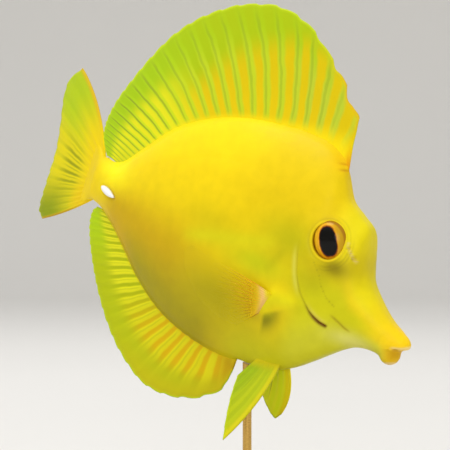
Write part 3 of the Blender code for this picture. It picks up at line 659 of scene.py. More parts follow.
def glass_eye(sign):
    """One domed eye, with each point's place on its face kept for the paint."""
    shape = bmesh.new()
    bmesh.ops.create_uvsphere(shape, u_segments=EYE_SEGMENTS, v_segments=EYE_RINGS, radius=1.0)
    ball = np.array([v.co for v in shape.verts])
    faces = [[v.index for v in f.verts] for f in shape.faces]
    shape.free()
    across, up, out = ball[:, 0], ball[:, 1], ball[:, 2]
    back = across * EYE_LONG * lean_c + up * EYE_TALL * lean_n
    rise = up * EYE_TALL * lean_c - across * EYE_LONG * lean_n
    s = EYE_S + back * math.cos(EYE_TURN) - out * EYE_DEPTH * math.sin(EYE_TURN)
    lift = back * math.sin(EYE_TURN) + out * EYE_DEPTH * math.cos(EYE_TURN)
    centre = float(half_width(EYE_S, EYE_H)) + EYE_STANDS_OUT - EYE_DEPTH
    places = np.stack([s, EYE_H + rise, sign * (centre + lift)], 1)
    if sign < 0:
        faces = [face[::-1] for face in faces]
    mesh = plain_mesh("eye", posed(places), faces)
    wide = PUPIL_LONG * (1 - 0.06 * up)
    tall = PUPIL_TALL * np.where(up > 0, 1.02, 0.97)
    egg = np.abs((across + 0.02) / wide) ** PUPIL_BLUNT + np.abs((up + 0.02) / tall) ** PUPIL_BLUNT
    egg = egg ** (1 / PUPIL_BLUNT)
    keep_zones(
        mesh,
        from_pupil=np.where(out > -0.2, egg, 3.0),
        from_middle=np.where(out > -0.2, np.hypot(across, up), 1.2),
        round_eye=np.arctan2(up, across) / math.tau,
        front=ramp(-across, 0.2, 0.8),
    )
    return mesh


eye_paint, tree, surface = new_material("glass eye over painted iris")
from_pupil = add_node(tree, "ShaderNodeAttribute", attribute_name="from_pupil").outputs["Fac"]
from_middle = add_node(tree, "ShaderNodeAttribute", attribute_name="from_middle").outputs["Fac"]
place = add_node(tree, "ShaderNodeTexCoord").outputs["Object"]
fleck = add_node(tree, "ShaderNodeTexNoise", {"Vector": place, "Scale": 700.0, "Detail": 3.0}).outputs[0]
fleck = add_node(
    tree, "ShaderNodeMapRange", {"Value": fleck, **NOISE_SPAN, "To Min": -0.03, "To Max": 0.03}
).outputs[0]
edge = add_node(tree, "ShaderNodeMath", {0: from_pupil, 1: fleck}, operation="ADD").outputs[0]
edge = add_node(
    tree, "ShaderNodeMapRange", {"Value": edge, "From Min": 0.8, "From Max": 1.8, "To Min": 0.0, "To Max": 1.0}
).outputs[0]
iris = add_node(tree, "ShaderNodeValToRGB", {"Fac": edge})
IRIS_RINGS = (
    (0.0, "#070504"), (0.17, "#0A0604"), (0.24, "#4A1A04"), (0.3, "#B0600A"),
    (0.4, "#EEB01C"), (0.6, "#E0A610"), (0.8, "#F0C224"), (1.0, "#D8A010"),
)
stops = iris.color_ramp.elements
for k, (position, colour) in enumerate(IRIS_RINGS):
    stop = stops[k] if k < 2 else stops.new(position)
    stop.position, stop.color = position, linear(colour)
near_pupil = add_node(
    tree,
    "ShaderNodeMapRange",
    {"Value": edge, "From Min": 0.25, "From Max": 0.45, "To Min": 1.0, "To Max": 0.0},
).outputs[0]
rim = add_node(
    tree,
    "ShaderNodeMapRange",
    {"Value": from_middle, "From Min": 0.85, "From Max": 0.94, "To Min": 0.0, "To Max": 1.0},
    interpolation_type="SMOOTHSTEP",
).outputs[0]
tone = layered(tree, iris.outputs[0], (("front", "#C49812"),))
tone = add_node(
    tree, "ShaderNodeMix", {0: near_pupil, 6: tone, 7: iris.outputs[0]}, data_type="RGBA"
).outputs[2]
tone = add_node(
    tree, "ShaderNodeMix", {0: rim, 6: tone, 7: linear("#A87408")}, data_type="RGBA"
).outputs[2]
shader = add_node(
    tree,
    "ShaderNodeBsdfPrincipled",
    {
        "Base Color": tone,
        "Roughness": 0.12,
        "Specular IOR Level": 0.1,
        "Coat Weight": 0.16,
        "Coat Roughness": 0.02,
    },
)
tree.links.new(shader.outputs[0], surface)
for side, sign in (("right", -1), ("left", 1)):
    fish_piece("glass_eye_" + side, glass_eye(sign), eye_paint, "eye", "eye_" + side)

# Dorsal and anal fins: thin cast sheets over a row of tapered rays, let into the ridge of the back and of the
# belly. Behind each ray the edge sinks, most of all just before the next, so that it is scalloped.
DORSAL_RAYS, DORSAL_RIDGE = 28, 0.14
# By ray, counted from the front: where it starts on the body, how deep the edge sinks behind it, the s and h
# of its tip, and how far it bows.
DORSAL_PLACES = (
    (0, 35.8), (3, 48.4), (8, 69.8), (12, 84.8), (16, 97.0), (20, 105.0), (24, 110.8), (27, 114.6)
)
DORSAL_HOLLOWS = ((0, 0.6), (1, 2.1), (2, 1.3), (3, 1.0), (4, 0.6), (6, 0.4), (27, 0.3))
DORSAL_TIPS = (
    (0, 36.9, 38.2), (1, 37.8, 46.2), (1.35, 39.9, 48.2), (2, 44.8, 53.6), (3, 51.5, 59.0),
    (4, 59.8, 64.6), (5, 67.2, 67.2), (6, 74.9, 67.6), (7, 82.0, 65.9), (8, 88.5, 63.5),
    (10, 99.8, 56.7), (12, 109.0, 48.4), (14, 116.1, 38.6), (16, 121.5, 29.3), (18, 125.0, 22.3),
    (20, 126.6, 16.9), (22, 126.8, 12.9), (24, 125.9, 9.8), (25, 124.6, 8.2), (27, 121.7, 5.3),
)
DORSAL_BOWS = ((0, 0.0), (3, 0.2), (5, 1.3), (7, 2.0), (10, 1.4), (13, 0.9), (18, 0.5), (27, 0.3))
ANAL_RAYS, ANAL_RIDGE = 24, 0.24
ANAL_PLACES = ((0, 50.4), (4, 64.1), (8, 78.5), (12, 91.2), (16, 101.3), (20, 109.5), (23, 115.0))
ANAL_HOLLOWS = ((0, 0.7), (2, 0.5), (5, 0.3), (23, 0.25))
ANAL_BOWS = ((0, 0.0), (23, 0.0))
ANAL_TIPS = (
    (0, 50.2, -36.4), (1, 51.6, -42.8), (2, 57.6, -48.0), (3, 64.6, -51.0), (4, 70.9, -52.3),
    (5, 76.5, -52.3), (6, 81.5, -51.1), (8, 91.1, -46.4), (10, 99.1, -40.6), (12, 105.6, -34.6),
    (14, 110.5, -29.3), (16, 114.5, -24.4), (18, 117.7, -19.9), (20, 119.7, -15.8), (22, 119.9, -12.2),
    (23, 118.6, -10.6),
)
# How far a hollow leans to the next ray, half the sheet's thickness, how far up flesh thickens its foot, how
# deep it is let in, a ridge's width and a painted line's place between two rays, and the sheet's fineness.
HOLLOW_SKEW = 3.0
MEMBRANE, FLESH, ROOTED = 0.26, 2.0, 1.5
RIDGE_WIDTH, LINE_PLACE = 0.22, 0.06
FIN_STEPS, FIN_ROWS = 12, 57
FIN_RAY, RAY_TAPER, RAY_SIDES = 0.45, 0.78, 10


def fin_lines(q, along, root, tip, bow):
    """s and h of places on a fin: q is the share of the rays, along the share of the ray's length."""
    start, end = root(q), tip(q)
    ray = end - start
    length = np.hypot(ray[..., 0], ray[..., 1])
    across = np.stack([-ray[..., 1], ray[..., 0]], -1) / length[..., None]
    curve = (bow(q) * 4 * along * (1 - along))[..., None]
    return start + ray * along[..., None] + across * curve, length


def sunk(hollows, place):
    """How deep a fin's edge sinks at places counted in rays, in millimetres."""
    gap = np.floor(place + 1e-6)
    return through(hollows, gap)[..., 0] * np.sin(math.pi * np.maximum(place - gap, 0.0) ** HOLLOW_SKEW)


def closed_sheet(name, first, second, merged=False):
    """A closed mesh with a face on each side, from two grids of places, joined round their rims."""
    index = np.arange(first[..., 0].size).reshape(first.shape[:2])
    other = index.size
    quads = np.stack([index[:-1, :-1], index[1:, :-1], index[1:, 1:], index[:-1, 1:]], -1).reshape(-1, 4)
    rim = np.concatenate([index[:, 0], index[-1, 1:], index[-2::-1, -1], index[0, -2:0:-1]])
    following = np.roll(rim, -1)
    faces = quads.tolist() + (quads[:, ::-1] + other).tolist()
    faces += np.stack([following, rim, rim + other, following + other], -1).tolist()
    mesh = plain_mesh(name, posed(np.concatenate([first.reshape(-1, 3), second.reshape(-1, 3)])), faces)
    shape = bmesh.new()
    shape.from_mesh(mesh)
    if merged:
        bmesh.ops.remove_doubles(shape, verts=shape.verts, dist=1e-7)
        bmesh.ops.recalc_face_normals(shape, faces=shape.faces)
    if shape.calc_volume(signed=True) < 0:
        bmesh.ops.reverse_faces(shape, faces=shape.faces)
    shape.to_mesh(mesh)
    shape.free()
    return mesh


def fin_sheet(name, rays, steps, rows, root, tip, middle, hollows, bow, ridge, rooted=ROOTED):
    """A fine two-faced sheet with a soft ridge along each ray, and where each of its points lies.

    root(q) and tip(q) give s and h; middle(s, h, q, along, off) gives w; steps is how many columns of faces
    there are from a ray to the next, and ridge how far the sheet swells over a ray, in millimetres. A point's
    place is given in rays, as its share of the way out, and in millimetres up the ray and below its tip.
    """
    place = np.linspace(0, rays - 1, (rays - 1) * steps + 1)[:, None]
    reach = np.linspace(0.0, 1.0, rows)[None]
    place, reach = np.broadcast_arrays(place, reach)
    q = place / (rays - 1)
    _, length = fin_lines(q, reach, root, tip, bow)
    along = reach * (1 - sunk(hollows, place) / length) - (rooted / length) * (1 - reach) ** 3
    s, h = np.moveaxis(fin_lines(q, along, root, tip, bow)[0], -1, 0)
    raised = ridge * (1 - 0.7 * reach) * hill(place - np.round(place), RIDGE_WIDTH)
    half = MEMBRANE * (1 - 0.6 * ramp(reach, 0.9, 1.0)) + np.maximum(raised, 0.15 * hill(reach * length, FLESH))
    sides = [np.stack([s, h, middle(s, h, q, np.clip(along, 0, 1), side * half)], -1) for side in (-1, 1)]
    lies = (place, reach, reach * length, (1 - reach) * length)
    return closed_sheet(name, *sides), *[np.tile(value.ravel(), 2) for value in lies]


def rod_tree():
    """Geometry nodes that lay a tapered rod along each line of a mesh, which keeps the line's values."""
    tree = bpy.data.node_groups.new("tapered rods along lines", "GeometryNodeTree")
    known = {
        name: tree.interface.new_socket(name, in_out=way, socket_type="NodeSocket" + kind).identifier
        for name, way, kind in (
            ("Lines", "INPUT", "Geometry"),
            ("Sides", "INPUT", "Int"),
            ("Thickness", "INPUT", "Float"),
            ("Paint", "INPUT", "Material"),
            ("Rods", "OUTPUT", "Geometry"),
        )
    }
    given = tree.nodes.new("NodeGroupInput").outputs
    lines = add_node(tree, "GeometryNodeMeshToCurve", {"Mesh": given["Lines"]}).outputs[0]
    taper = add_node(tree, "GeometryNodeInputNamedAttribute", {"Name": "taper"}, data_type="FLOAT").outputs[0]
    thick = add_node(tree, "ShaderNodeMath", {0: taper, 1: given["Thickness"]}, operation="MULTIPLY").outputs[0]
    ring = add_node(tree, "GeometryNodeCurvePrimitiveCircle", {"Resolution": given["Sides"], "Radius": 1.0})
    rods = add_node(
        tree,
        "GeometryNodeCurveToMesh",
        {"Curve": lines, "Profile Curve": ring.outputs[0], "Scale": thick, "Fill Caps": True},
    ).outputs[0]
    rods = add_node(tree, "GeometryNodeSetShadeSmooth", {0: rods}).outputs[0]
    rods = add_node(tree, "GeometryNodeRealizeInstances", {0: rods}).outputs[0]
    rods = add_node(tree, "GeometryNodeSetMaterial", {"Geometry": rods, "Material": given["Paint"]}).outputs[0]
    tree.links.new(rods, tree.nodes.new("NodeGroupOutput").inputs[0])
    return tree, known


RODS, ROD_INPUTS = rod_tree()


def fin_pair(name, side, node, sheet, steps, rows, thickness, paint, ray_paint=None):
    """A fin's two pieces: its sheet, and the row of tapered rods in it, fine ribs on both its faces."""
    lines = numbers(sheet.vertices, "co", 3).reshape(2, -1, rows, 3).mean(0)[::steps, ::2]
    count, long = lines.shape[:2]
    index = np.arange(count * long).reshape(count, long)
    edges = np.stack([index[:, :-1], index[:, 1:]], -1).reshape(-1, 2)
    mesh = bpy.data.meshes.new("rays")
    mesh.from_pydata(lines.reshape(-1, 3).tolist(), edges.tolist(), [])
    for zone in sheet.attributes:
        if zone.domain == "POINT" and zone.data_type == "FLOAT":
            values = numbers(zone.data, "value", 1, np.float32)
            keep_zones(mesh, **{zone.name: values.reshape(2, -1, rows)[0, ::steps, ::2]})
    reach = np.linspace(0.0, 1.0, rows)[::2]
    keep_zones(mesh, taper=np.tile(1 - RAY_TAPER * reach, (count, 1)))
    laid = bpy.data.objects.new("rays", mesh)
    bpy.context.scene.collection.objects.link(laid)
    rods = laid.modifiers.new("rods", "NODES")
    rods.node_group = RODS
    rods[ROD_INPUTS["Sides"]] = RAY_SIDES
    rods[ROD_INPUTS["Thickness"]] = thickness * 0.001
    rods[ROD_INPUTS["Paint"]] = ray_paint or paint
    made = bpy.data.meshes.new_from_object(laid.evaluated_get(bpy.context.evaluated_depsgraph_get()))
    bpy.data.objects.remove(laid)
    fish_piece(name + "_sheet" + side, sheet, paint, "fin", node)
    fish_piece(name + "_rays" + side, made, ray_paint or paint, "fin", node)


def lifted(line, u, up):
    """Places just off the back or belly line."""
    along = line(u + 0.5) - line(u - 0.5)
    along = along / np.hypot(along[..., 0], along[..., 1])[..., None]
    return line(u) + up * GAP * np.stack([-along[..., 1], along[..., 0]], -1)


def midline_fin(name, line, up, rays, places, hollows, tips, bows, ridge):
    """The dorsal or anal fin's sheet, and where its points lie, first along the body and then in the fin."""

    def base(q):
        return through(places, q * (rays - 1))[..., 0]

    sheet, ray, *out = fin_sheet(
        name,
        rays,
        FIN_STEPS,
        FIN_ROWS,
        lambda q: lifted(line, base(q), up),
        lambda q: through(tips, q * (rays - 1)),
        lambda s, h, q, along, off: off,
        hollows,
        lambda q: through(bows, q * (rays - 1))[..., 0],
        ridge,
    )
    return sheet, base(ray / (rays - 1)), ray, *out


def fin_paint(name, gap, gap_zones, band, band_zones, line, over_zones, band_half=0.24, sight=None):
    """Paint for a fin of cast resin: a band of colour along each ray, a fine line on it, and zones over both.

    The varnish over it is satin, broken up by a grain of 0.7 mm. sight names the mesh's share of how solid a
    clear fin looks.
    """
    material, tree, surface = new_material(name)
    ray = add_node(tree, "ShaderNodeAttribute", attribute_name="ray").outputs["Fac"]
    place = add_node(tree, "ShaderNodeTexCoord").outputs["Object"]
    waver = add_node(tree, "ShaderNodeTexNoise", {"Vector": place, "Scale": 150.0, "Detail": 2.0}).outputs[0]
    waver = add_node(
        tree, "ShaderNodeMapRange", {"Value": waver, **NOISE_SPAN, "To Min": 0.44, "To Max": 0.56}
    ).outputs[0]
    phase = ray
    for operation, amount in (("ADD", waver), ("FRACT", 0.0), ("SUBTRACT", 0.5)):
        phase = add_node(tree, "ShaderNodeMath", {0: phase, 1: amount}, operation=operation).outputs[0]
    tone = layered(tree, linear(gap), gap_zones)
    for shares, place_on_ray, inside, outside, colour in (
        ("bands", 0.0, band_half - 0.1, band_half + 0.1, layered(tree, linear(band), band_zones)),
        ("lines", LINE_PLACE, 0.03, 0.13, linear(line)),
    ):
        off = add_node(tree, "ShaderNodeMath", {0: phase, 1: place_on_ray}, operation="SUBTRACT").outputs[0]
        off = add_node(tree, "ShaderNodeMath", {0: off}, operation="ABSOLUTE").outputs[0]
        mark = add_node(
            tree,
            "ShaderNodeMapRange",
            {"Value": off, "From Min": inside, "From Max": outside, "To Min": 1.0, "To Max": 0.0},
            interpolation_type="SMOOTHSTEP",
        ).outputs[0]
        share = add_node(tree, "ShaderNodeAttribute", attribute_name=shares).outputs["Fac"]
        mark = add_node(tree, "ShaderNodeMath", {0: mark, 1: share}, operation="MULTIPLY").outputs[0]
        tone = add_node(
            tree, "ShaderNodeMix", {0: mark, 6: tone, 7: colour}, data_type="RGBA"
        ).outputs[2]
    tone = layered(tree, tone, over_zones)
    grain = add_node(
        tree, "ShaderNodeTexNoise", {"Vector": place, "Scale": 1500.0, "Detail": 2.0}
    ).outputs[0]
    bump = add_node(tree, "ShaderNodeBump", {"Strength": 0.2, "Distance": 0.0001, "Height": grain}).outputs[0]
    gloss = add_node(
        tree, "ShaderNodeMapRange", {"Value": grain, **NOISE_SPAN, "To Min": 0.36, "To Max": 0.5}
    ).outputs[0]
    shader = add_node(
        tree,
        "ShaderNodeBsdfPrincipled",
        {"Base Color": tone, "Roughness": gloss, "Normal": bump, "Specular IOR Level": 0.15},
    )
    if sight:
        tree.links.new(
            add_node(tree, "ShaderNodeAttribute", attribute_name=sight).outputs["Fac"], shader.inputs["Alpha"]
        )
    tree.links.new(shader.outputs[0], surface)
    return material


sheet, base, ray, reach, up_ray, below_tip = midline_fin(
    "dorsal fin",
    back_line,
    1,
    DORSAL_RAYS,
    DORSAL_PLACES,
    DORSAL_HOLLOWS,
    DORSAL_TIPS,
    DORSAL_BOWS,
    DORSAL_RIDGE,
)
# By place on the back: how far up its rays the dorsal fin is amber, as a share, and yellow, in millimetres.
AMBER_ENDS = (
    (36.8, 1.1), (48.0, 0.98), (60.0, 0.72), (75.0, 0.54), (90.0, 0.32), (104.0, 0.1), (119.0, 0.0)
)
YELLOW_ROOT = ((36.8, 10.0), (48.0, 6.0), (60.0, 4.4), (80.0, 3.6), (104.0, 2.6), (114.6, 1.8))
amber_end = through(AMBER_ENDS, base)[:, 0]
keep_zones(
    sheet,
    ray=ray,
    bands=ramp(ray, 0.5, 1.4)
    * ramp(up_ray, 0.6, 4.0 - 2.0 * ramp(base, 90.0, 106.0))
    * (1 - 0.6 * ramp(reach, 0.75, 1.0)),
    lines=ramp(ray, 1.0, 3.0)
    * ramp(up_ray, 1.0, 5.0 - 2.6 * ramp(base, 90.0, 106.0))
    * ramp(reach, 1.0, 0.8)
    * (0.4 + 0.6 * ramp(base, 84.0, 106.0)),
    amber=ramp(reach, amber_end + 0.14, amber_end - 0.14),
    amber_base=ramp(reach, 0.45, 0.1) * ramp(base, 100.0, 80.0),
    middle=ramp(base, 50.0, 64.0),
    rear=ramp(base, 82.0, 96.0) * ramp(reach, 0.9, 0.5),
    rear_outer=ramp(base, 72.0, 94.0) * ramp(reach, 0.45, 0.8),
    outer=ramp(reach, 0.5, 0.85) * ramp(base, 42.0, 56.0),
    rear_root=ramp(base, 104.0, 112.0) * ramp(reach, 0.6, 0.2) * 0.5,
    root=ramp(up_ray, through(YELLOW_ROOT, base)[:, 0], 0.6),
    margin=ramp(below_tip, 0.8, 0.2),
    first_edge=np.maximum(
        ramp(ray, 0.8, 0.0) * ramp(reach, 0.9, 0.2), 0.7 * hill(ray - 1.6, 1.4) * ramp(below_tip, 1.2, 0.2)
    ),
)
dorsal_paint = fin_paint(
    "varnished dorsal fin",
    "#AEC408",
    (("amber", "#DCC200"), ("amber_base", "#E4C600"), ("rear", "#E4E018"), ("rear_outer", "#A6C80E")),
    "#BECC30",
    (("middle", "#C2D222"), ("outer", "#AECA10"), ("rear", "#C8D81A"), ("rear_outer", "#AED014")),
    "#8CA224",
    (("rear_root", "#CCCC16"), ("root", "#F8E006"), ("margin", "#CEE024"), ("first_edge", "#E8A406")),
)
fin_pair("dorsal", "", "dorsal_fin", sheet, FIN_STEPS, FIN_ROWS, FIN_RAY, dorsal_paint)

sheet, base, ray, reach, up_ray, below_tip = midline_fin(
    "anal fin", belly_line, -1, ANAL_RAYS, ANAL_PLACES, ANAL_HOLLOWS, ANAL_TIPS, ANAL_BOWS, ANAL_RIDGE
)
to_rear = ramp(base, 84.0, 104.0)
keep_zones(
    sheet,
    ray=ray,
    bands=ramp(ray, 0.6, 1.6)
    * ramp(reach, 1.05 - 0.25 * to_rear, 0.5 - 0.1 * to_rear)
    * ramp(up_ray, 0.5, 2.4),
    lines=ramp(base, 56.0, 64.0) * ramp(reach, 0.8, 0.5) * ramp(up_ray, 1.0, 4.0) * 0.35,
    amber=ramp(base, 92.0, 74.0) * ramp(reach, 0.86, 0.4),
    front=ramp(base, 94.0, 76.0),
    front_lobe=ramp(base, 57.0, 52.0),
    outer=ramp(reach, 0.45, 0.75) * ramp(ray, 1.0, 4.0),
    rear=ramp(base, 80.0, 96.0),
    rear_tip=ramp(base, 96.0, 110.0) * ramp(reach, 0.3, 0.7),
    root=ramp(up_ray, 2.6, 0.4),
    front_outer=0.7 * ramp(base, 88.0, 66.0) * ramp(reach, 0.5, 0.9),
    margin=ramp(below_tip, 0.7, 0.2),
)
anal_paint = fin_paint(
    "varnished anal fin",
    "#AEB604",
    (("front", "#B6B204"), ("amber", "#D8B000"), ("outer", "#B2BC06")),
    "#D2D212",
    (("rear", "#E2E018"), ("front", "#DCD210"), ("outer", "#BCC40A")),
    "#A0A408",
    (
        ("front_lobe", "#C4A202"),
        ("front_outer", "#CABC08"),
        ("rear_tip", "#AECC0C"),
        ("root", "#DEC406"),
        ("margin", "#C4D81A"),
    ),
    band_half=0.3,
)
fin_pair("anal", "", "anal_fin", sheet, FIN_STEPS, FIN_ROWS, FIN_RAY, anal_paint)

# Tail fin: a fan of thirteen rays from the end of the tail stem, closer together in its lower half, with a
# slightly forked edge. Its root is sheathed in the stem's skin.
CAUDAL_RAYS, CAUDAL_STEPS, CAUDAL_ROWS, CAUDAL_RAY = 13, 20, 49, 0.42
CAUDAL_BOW, CAUDAL_LOW_BOW, CAUDAL_RIDGE, CAUDAL_ROOTED = 3.0, -0.8, 0.16, 3.0
CAUDAL_PLACES = ((0, 0.0), (2, 0.11), (5, 0.317), (7, 0.493), (9, 0.697), (12, 1.0))
CAUDAL_HOLLOWS = ((0, 0.4), (12, 0.4))
CAUDAL_TIPS = (
    (-1.0, 144.4, -23.6), (-0.86, 148.0, -21.6), (-0.5, 148.8, -12.0),
    (-0.1, 149.0, -2.0), (0.3, 151.6, 7.0), (0.6, 154.2, 13.4),
    (0.8, 154.8, 18.6), (0.92, 152.2, 23.0), (1.0, 148.4, 25.8),
)


def tail_height(q):
    """How high a ray starts on the tail stem's end, from -1 to 1, by its share of the rays."""
    return 2 * through(CAUDAL_PLACES, q * (CAUDAL_RAYS - 1))[..., 0] - 1


def tail_root(q):
    """s and h of the places on the tail stem's end where the rays start."""
    s, h, _ = body_point(BODY_END, tail_height(q))
    return np.stack([s + GAP, h], -1)


def tail_bow(q):
    """How far the rays bow off straight, in millimetres."""
    height = tail_height(q)
    return CAUDAL_BOW * np.maximum(height, 0.0) ** 2 + CAUDAL_LOW_BOW * np.maximum(-height, 0.0) ** 2


sheet, ray, reach, up_ray, below_tip = fin_sheet(
    "tail fin",
    CAUDAL_RAYS,
    CAUDAL_STEPS,
    CAUDAL_ROWS,
    tail_root,
    lambda q: through(CAUDAL_TIPS, tail_height(q)),
    lambda s, h, q, along, off: off,
    CAUDAL_HOLLOWS,
    tail_bow,
    CAUDAL_RIDGE,
    rooted=CAUDAL_ROOTED,
)
upper = (tail_height(ray / (CAUDAL_RAYS - 1)) + 1) / 2
DARK_STREAKS = ((0, 0.0), (1.5, 0.3), (3.5, 0.6), (4.5, 1.0), (7.5, 1.0), (8.5, 0.35), (9.5, 0.0), (12, 0.0))
streaks = through(DARK_STREAKS, ray)[:, 0]
keep_zones(
    sheet,
    ray=ray,
    bands=ramp(up_ray, 3.0, 9.0),
    lines=0.6 * streaks * ramp(reach, 0.3, 0.46) * ramp(reach, 0.8, 0.56),
    streak=0.85 * streaks * ramp(reach, 0.26, 0.44) * ramp(reach, 0.88, 0.6),
    upper_lobe=ramp(upper, 0.55, 0.85) * ramp(reach, 0.3, 0.8),
    lower_lobe=ramp(upper, 0.35, 0.05) * ramp(reach, 0.3, 0.8),
    root=ramp(reach, 0.48 + 0.06 * ramp(upper, 0.6, 1.0), 0.2),
    low_root=0.5 * ramp(reach, 0.5, 0.3) * ramp(upper, 0.4, 0.1),
    upper_edge=ramp(upper, 0.982, 1.0) * ramp(reach, 0.2, 0.5) * 0.8,
    lower_edge=ramp(upper, 0.018, 0.0) * ramp(reach, 0.2, 0.5) * 0.8,
    margin=ramp(below_tip, 0.7, 0.2),
)
tail_paint = fin_paint(
    "varnished tail fin",
    "#D6CC08",
    (("upper_lobe", "#B0C80E"), ("lower_lobe", "#8C9A06"), ("streak", "#989A08")),
    "#E0D208",
    (("upper_lobe", "#B6CC10"), ("lower_lobe", "#8E9C08")),
    "#A4A40A",
    (
        ("root", "#EED008"),
        ("low_root", "#E4BC08"),
        ("margin", "#C8D41C"),
        ("upper_edge", "#E0B010"),
        ("lower_edge", "#CCA00A"),
    ),
    band_half=0.34,
)
fin_pair("tail", "", "caudal_fin", sheet, CAUDAL_STEPS, CAUDAL_ROWS, CAUDAL_RAY, tail_paint)

# Pectoral fins: clear cast sheets laid back along the flanks, with fine orange rays that fan out from a
# fleshy root. The flank shows through the outer part.
PECTORAL_RAYS, PECTORAL_STEPS, PECTORAL_ROWS, PECTORAL_RAY = 14, 10, 41, 0.2
PECTORAL_FLARE, PECTORAL_RIDGE, PECTORAL_ROOTED = 0.13, 0.1, 1.0
PECTORAL_TIPS = (
    (0.0, 68.6, -4.2), (0.12, 70.2, -6.0), (0.3, 69.0, -11.0),
    (0.55, 63.0, -17.6), (0.8, 55.6, -21.2), (1.0, 49.6, -21.4),
)
PECTORAL_HOLLOWS = ((0, 0.3), (13, 0.3))
PECTORAL_FLESH = ((0, 4.6), (4, 2.6), (7, 1.7), (13, 0.5))
pectoral_paint = fin_paint(
    "clear golden pectoral fin",
    "#EED40A",
    (("outer", "#DCC60A"),),
    "#F4C408",
    (("outer", "#E0C60A"),),
    "#D8A408",
    (("flesh", "#EED80A"), ("root", "#F2C078")),
    sight="sight",
)
pectoral_ray_paint = fin_paint(
    "orange pectoral ray",
    "#F4AC10",
    (("outer", "#E4C00C"),),
    "#F4AC10",
    (("outer", "#E4C00C"),),
    "#F4AC10",
    (("upper_edge", "#FFB01C"), ("flesh", "#F0DC0A"), ("root", "#F8CC80")),
    sight="ray_sight",
)
for side, sign in (("right", -1), ("left", 1)):

    def pectoral_root(q):
        (top_s, top_h), (low_s, low_h) = PECTORAL_ROOT
        return np.stack([top_s + (low_s - top_s) * q, top_h + (low_h - top_h) * q], -1)

    def laid_back(s, h, q, along, off):
        start = pectoral_root(q)
        far = np.hypot(s - start[..., 0], h - start[..., 1]) * (along > 0)
        inner = half_width(s, h) + GAP + PECTORAL_FLARE * far
        return sign * (inner + MEMBRANE + off + 0.5 * hill(far, 3.0) - 1.5 * ramp(far, 1.4, -0.4))

    sheet, ray, reach, up_ray, below_tip = fin_sheet(
        "pectoral fin",
        PECTORAL_RAYS,
        PECTORAL_STEPS,
        PECTORAL_ROWS,
        pectoral_root,
        lambda q: through(PECTORAL_TIPS, q),
        laid_back,
        PECTORAL_HOLLOWS,
        lambda q: 0 * q,
        PECTORAL_RIDGE,
        rooted=PECTORAL_ROOTED,
    )
    root_end = through(PECTORAL_FLESH, ray)[:, 0]
    keep_zones(
        sheet,
        ray=ray,
        bands=ramp(reach, 1.0, 0.3),
        lines=0 * ray,
        outer=ramp(reach, 0.15, 0.6),
        sight=np.maximum(
            0.04 + 0.16 * ramp(reach, 0.8, 0.1), ramp(up_ray, root_end + 6.0, root_end - 0.5)
        ),
        ray_sight=0.5 * ramp(reach, 0.75, 0.1) * ramp(up_ray, root_end - 1.0, root_end + 1.0),
        flesh=ramp(up_ray, root_end + 0.5, root_end - 0.5),
        root=0.9 * hill(up_ray - root_end, 1.0),
        upper_edge=ramp(ray, 1.2, 0.3) * ramp(reach, 0.9, 0.2),
    )
    fin_pair(
        "pectoral",
        "_" + side,
        "pectoral_fin_" + side,
        sheet,
        PECTORAL_STEPS,
        PECTORAL_ROWS,
        PECTORAL_RAY,
        pectoral_paint,
        pectoral_ray_paint,
    )

# Pelvic fins: two short pointed sheets that hang and spread from the belly.
PELVIC_RAYS, PELVIC_STEPS, PELVIC_ROWS, PELVIC_RAY = 6, 16, 45, 0.46
PELVIC_START, PELVIC_STOP, PELVIC_OUT, PELVIC_RIDGE = 35.2, 42.6, 3.0, 0.16
PELVIC_HOLLOWS = ((0, 0.12), (5, 0.12))
PELVIC_BOW = {"right": 1.3, "left": 1.8}
PELVIC_SPREAD = {"right": 0.45, "left": 0.6}
PELVIC_TIPS = {
    "right": ((0.0, 39.2, -52.0), (0.3, 41.6, -47.2), (0.65, 44.0, -41.0), (1.0, 45.4, -35.4)),
    "left": ((0.0, 37.2, -45.6), (0.25, 39.2, -47.6), (0.65, 42.4, -44.0), (1.0, 44.4, -39.4)),
}
# The far, left fin is painted brighter: painted light, standing in for light that passes through it from
# behind.
pelvic_paint = fin_paint(
    "varnished pelvic fin",
    "#ACBA08",
    (("rear", "#98B006"), ("left_fin", "#F0FF1C")),
    "#BCC60C",
    (("rear", "#A4BE0A"), ("left_fin", "#F8FF2C")),
    "#8C9E08",
    (("lead", "#D2CA0C"), ("left_lead", "#FFF01C"), ("root", "#CCBE0A"), ("margin", "#C8D814")),
)


def belly_height(s, w):
    """Height of the belly's skin at places seen from below."""
    low, high = np.full(np.shape(s), -1.0), np.zeros(np.shape(s))
    for _ in range(30):
        y = (low + high) / 2
        inside = body_point(s, y)[2] < w
        low, high = np.where(inside, y, low), np.where(inside, high, y)
    return body_point(s, low)[1]


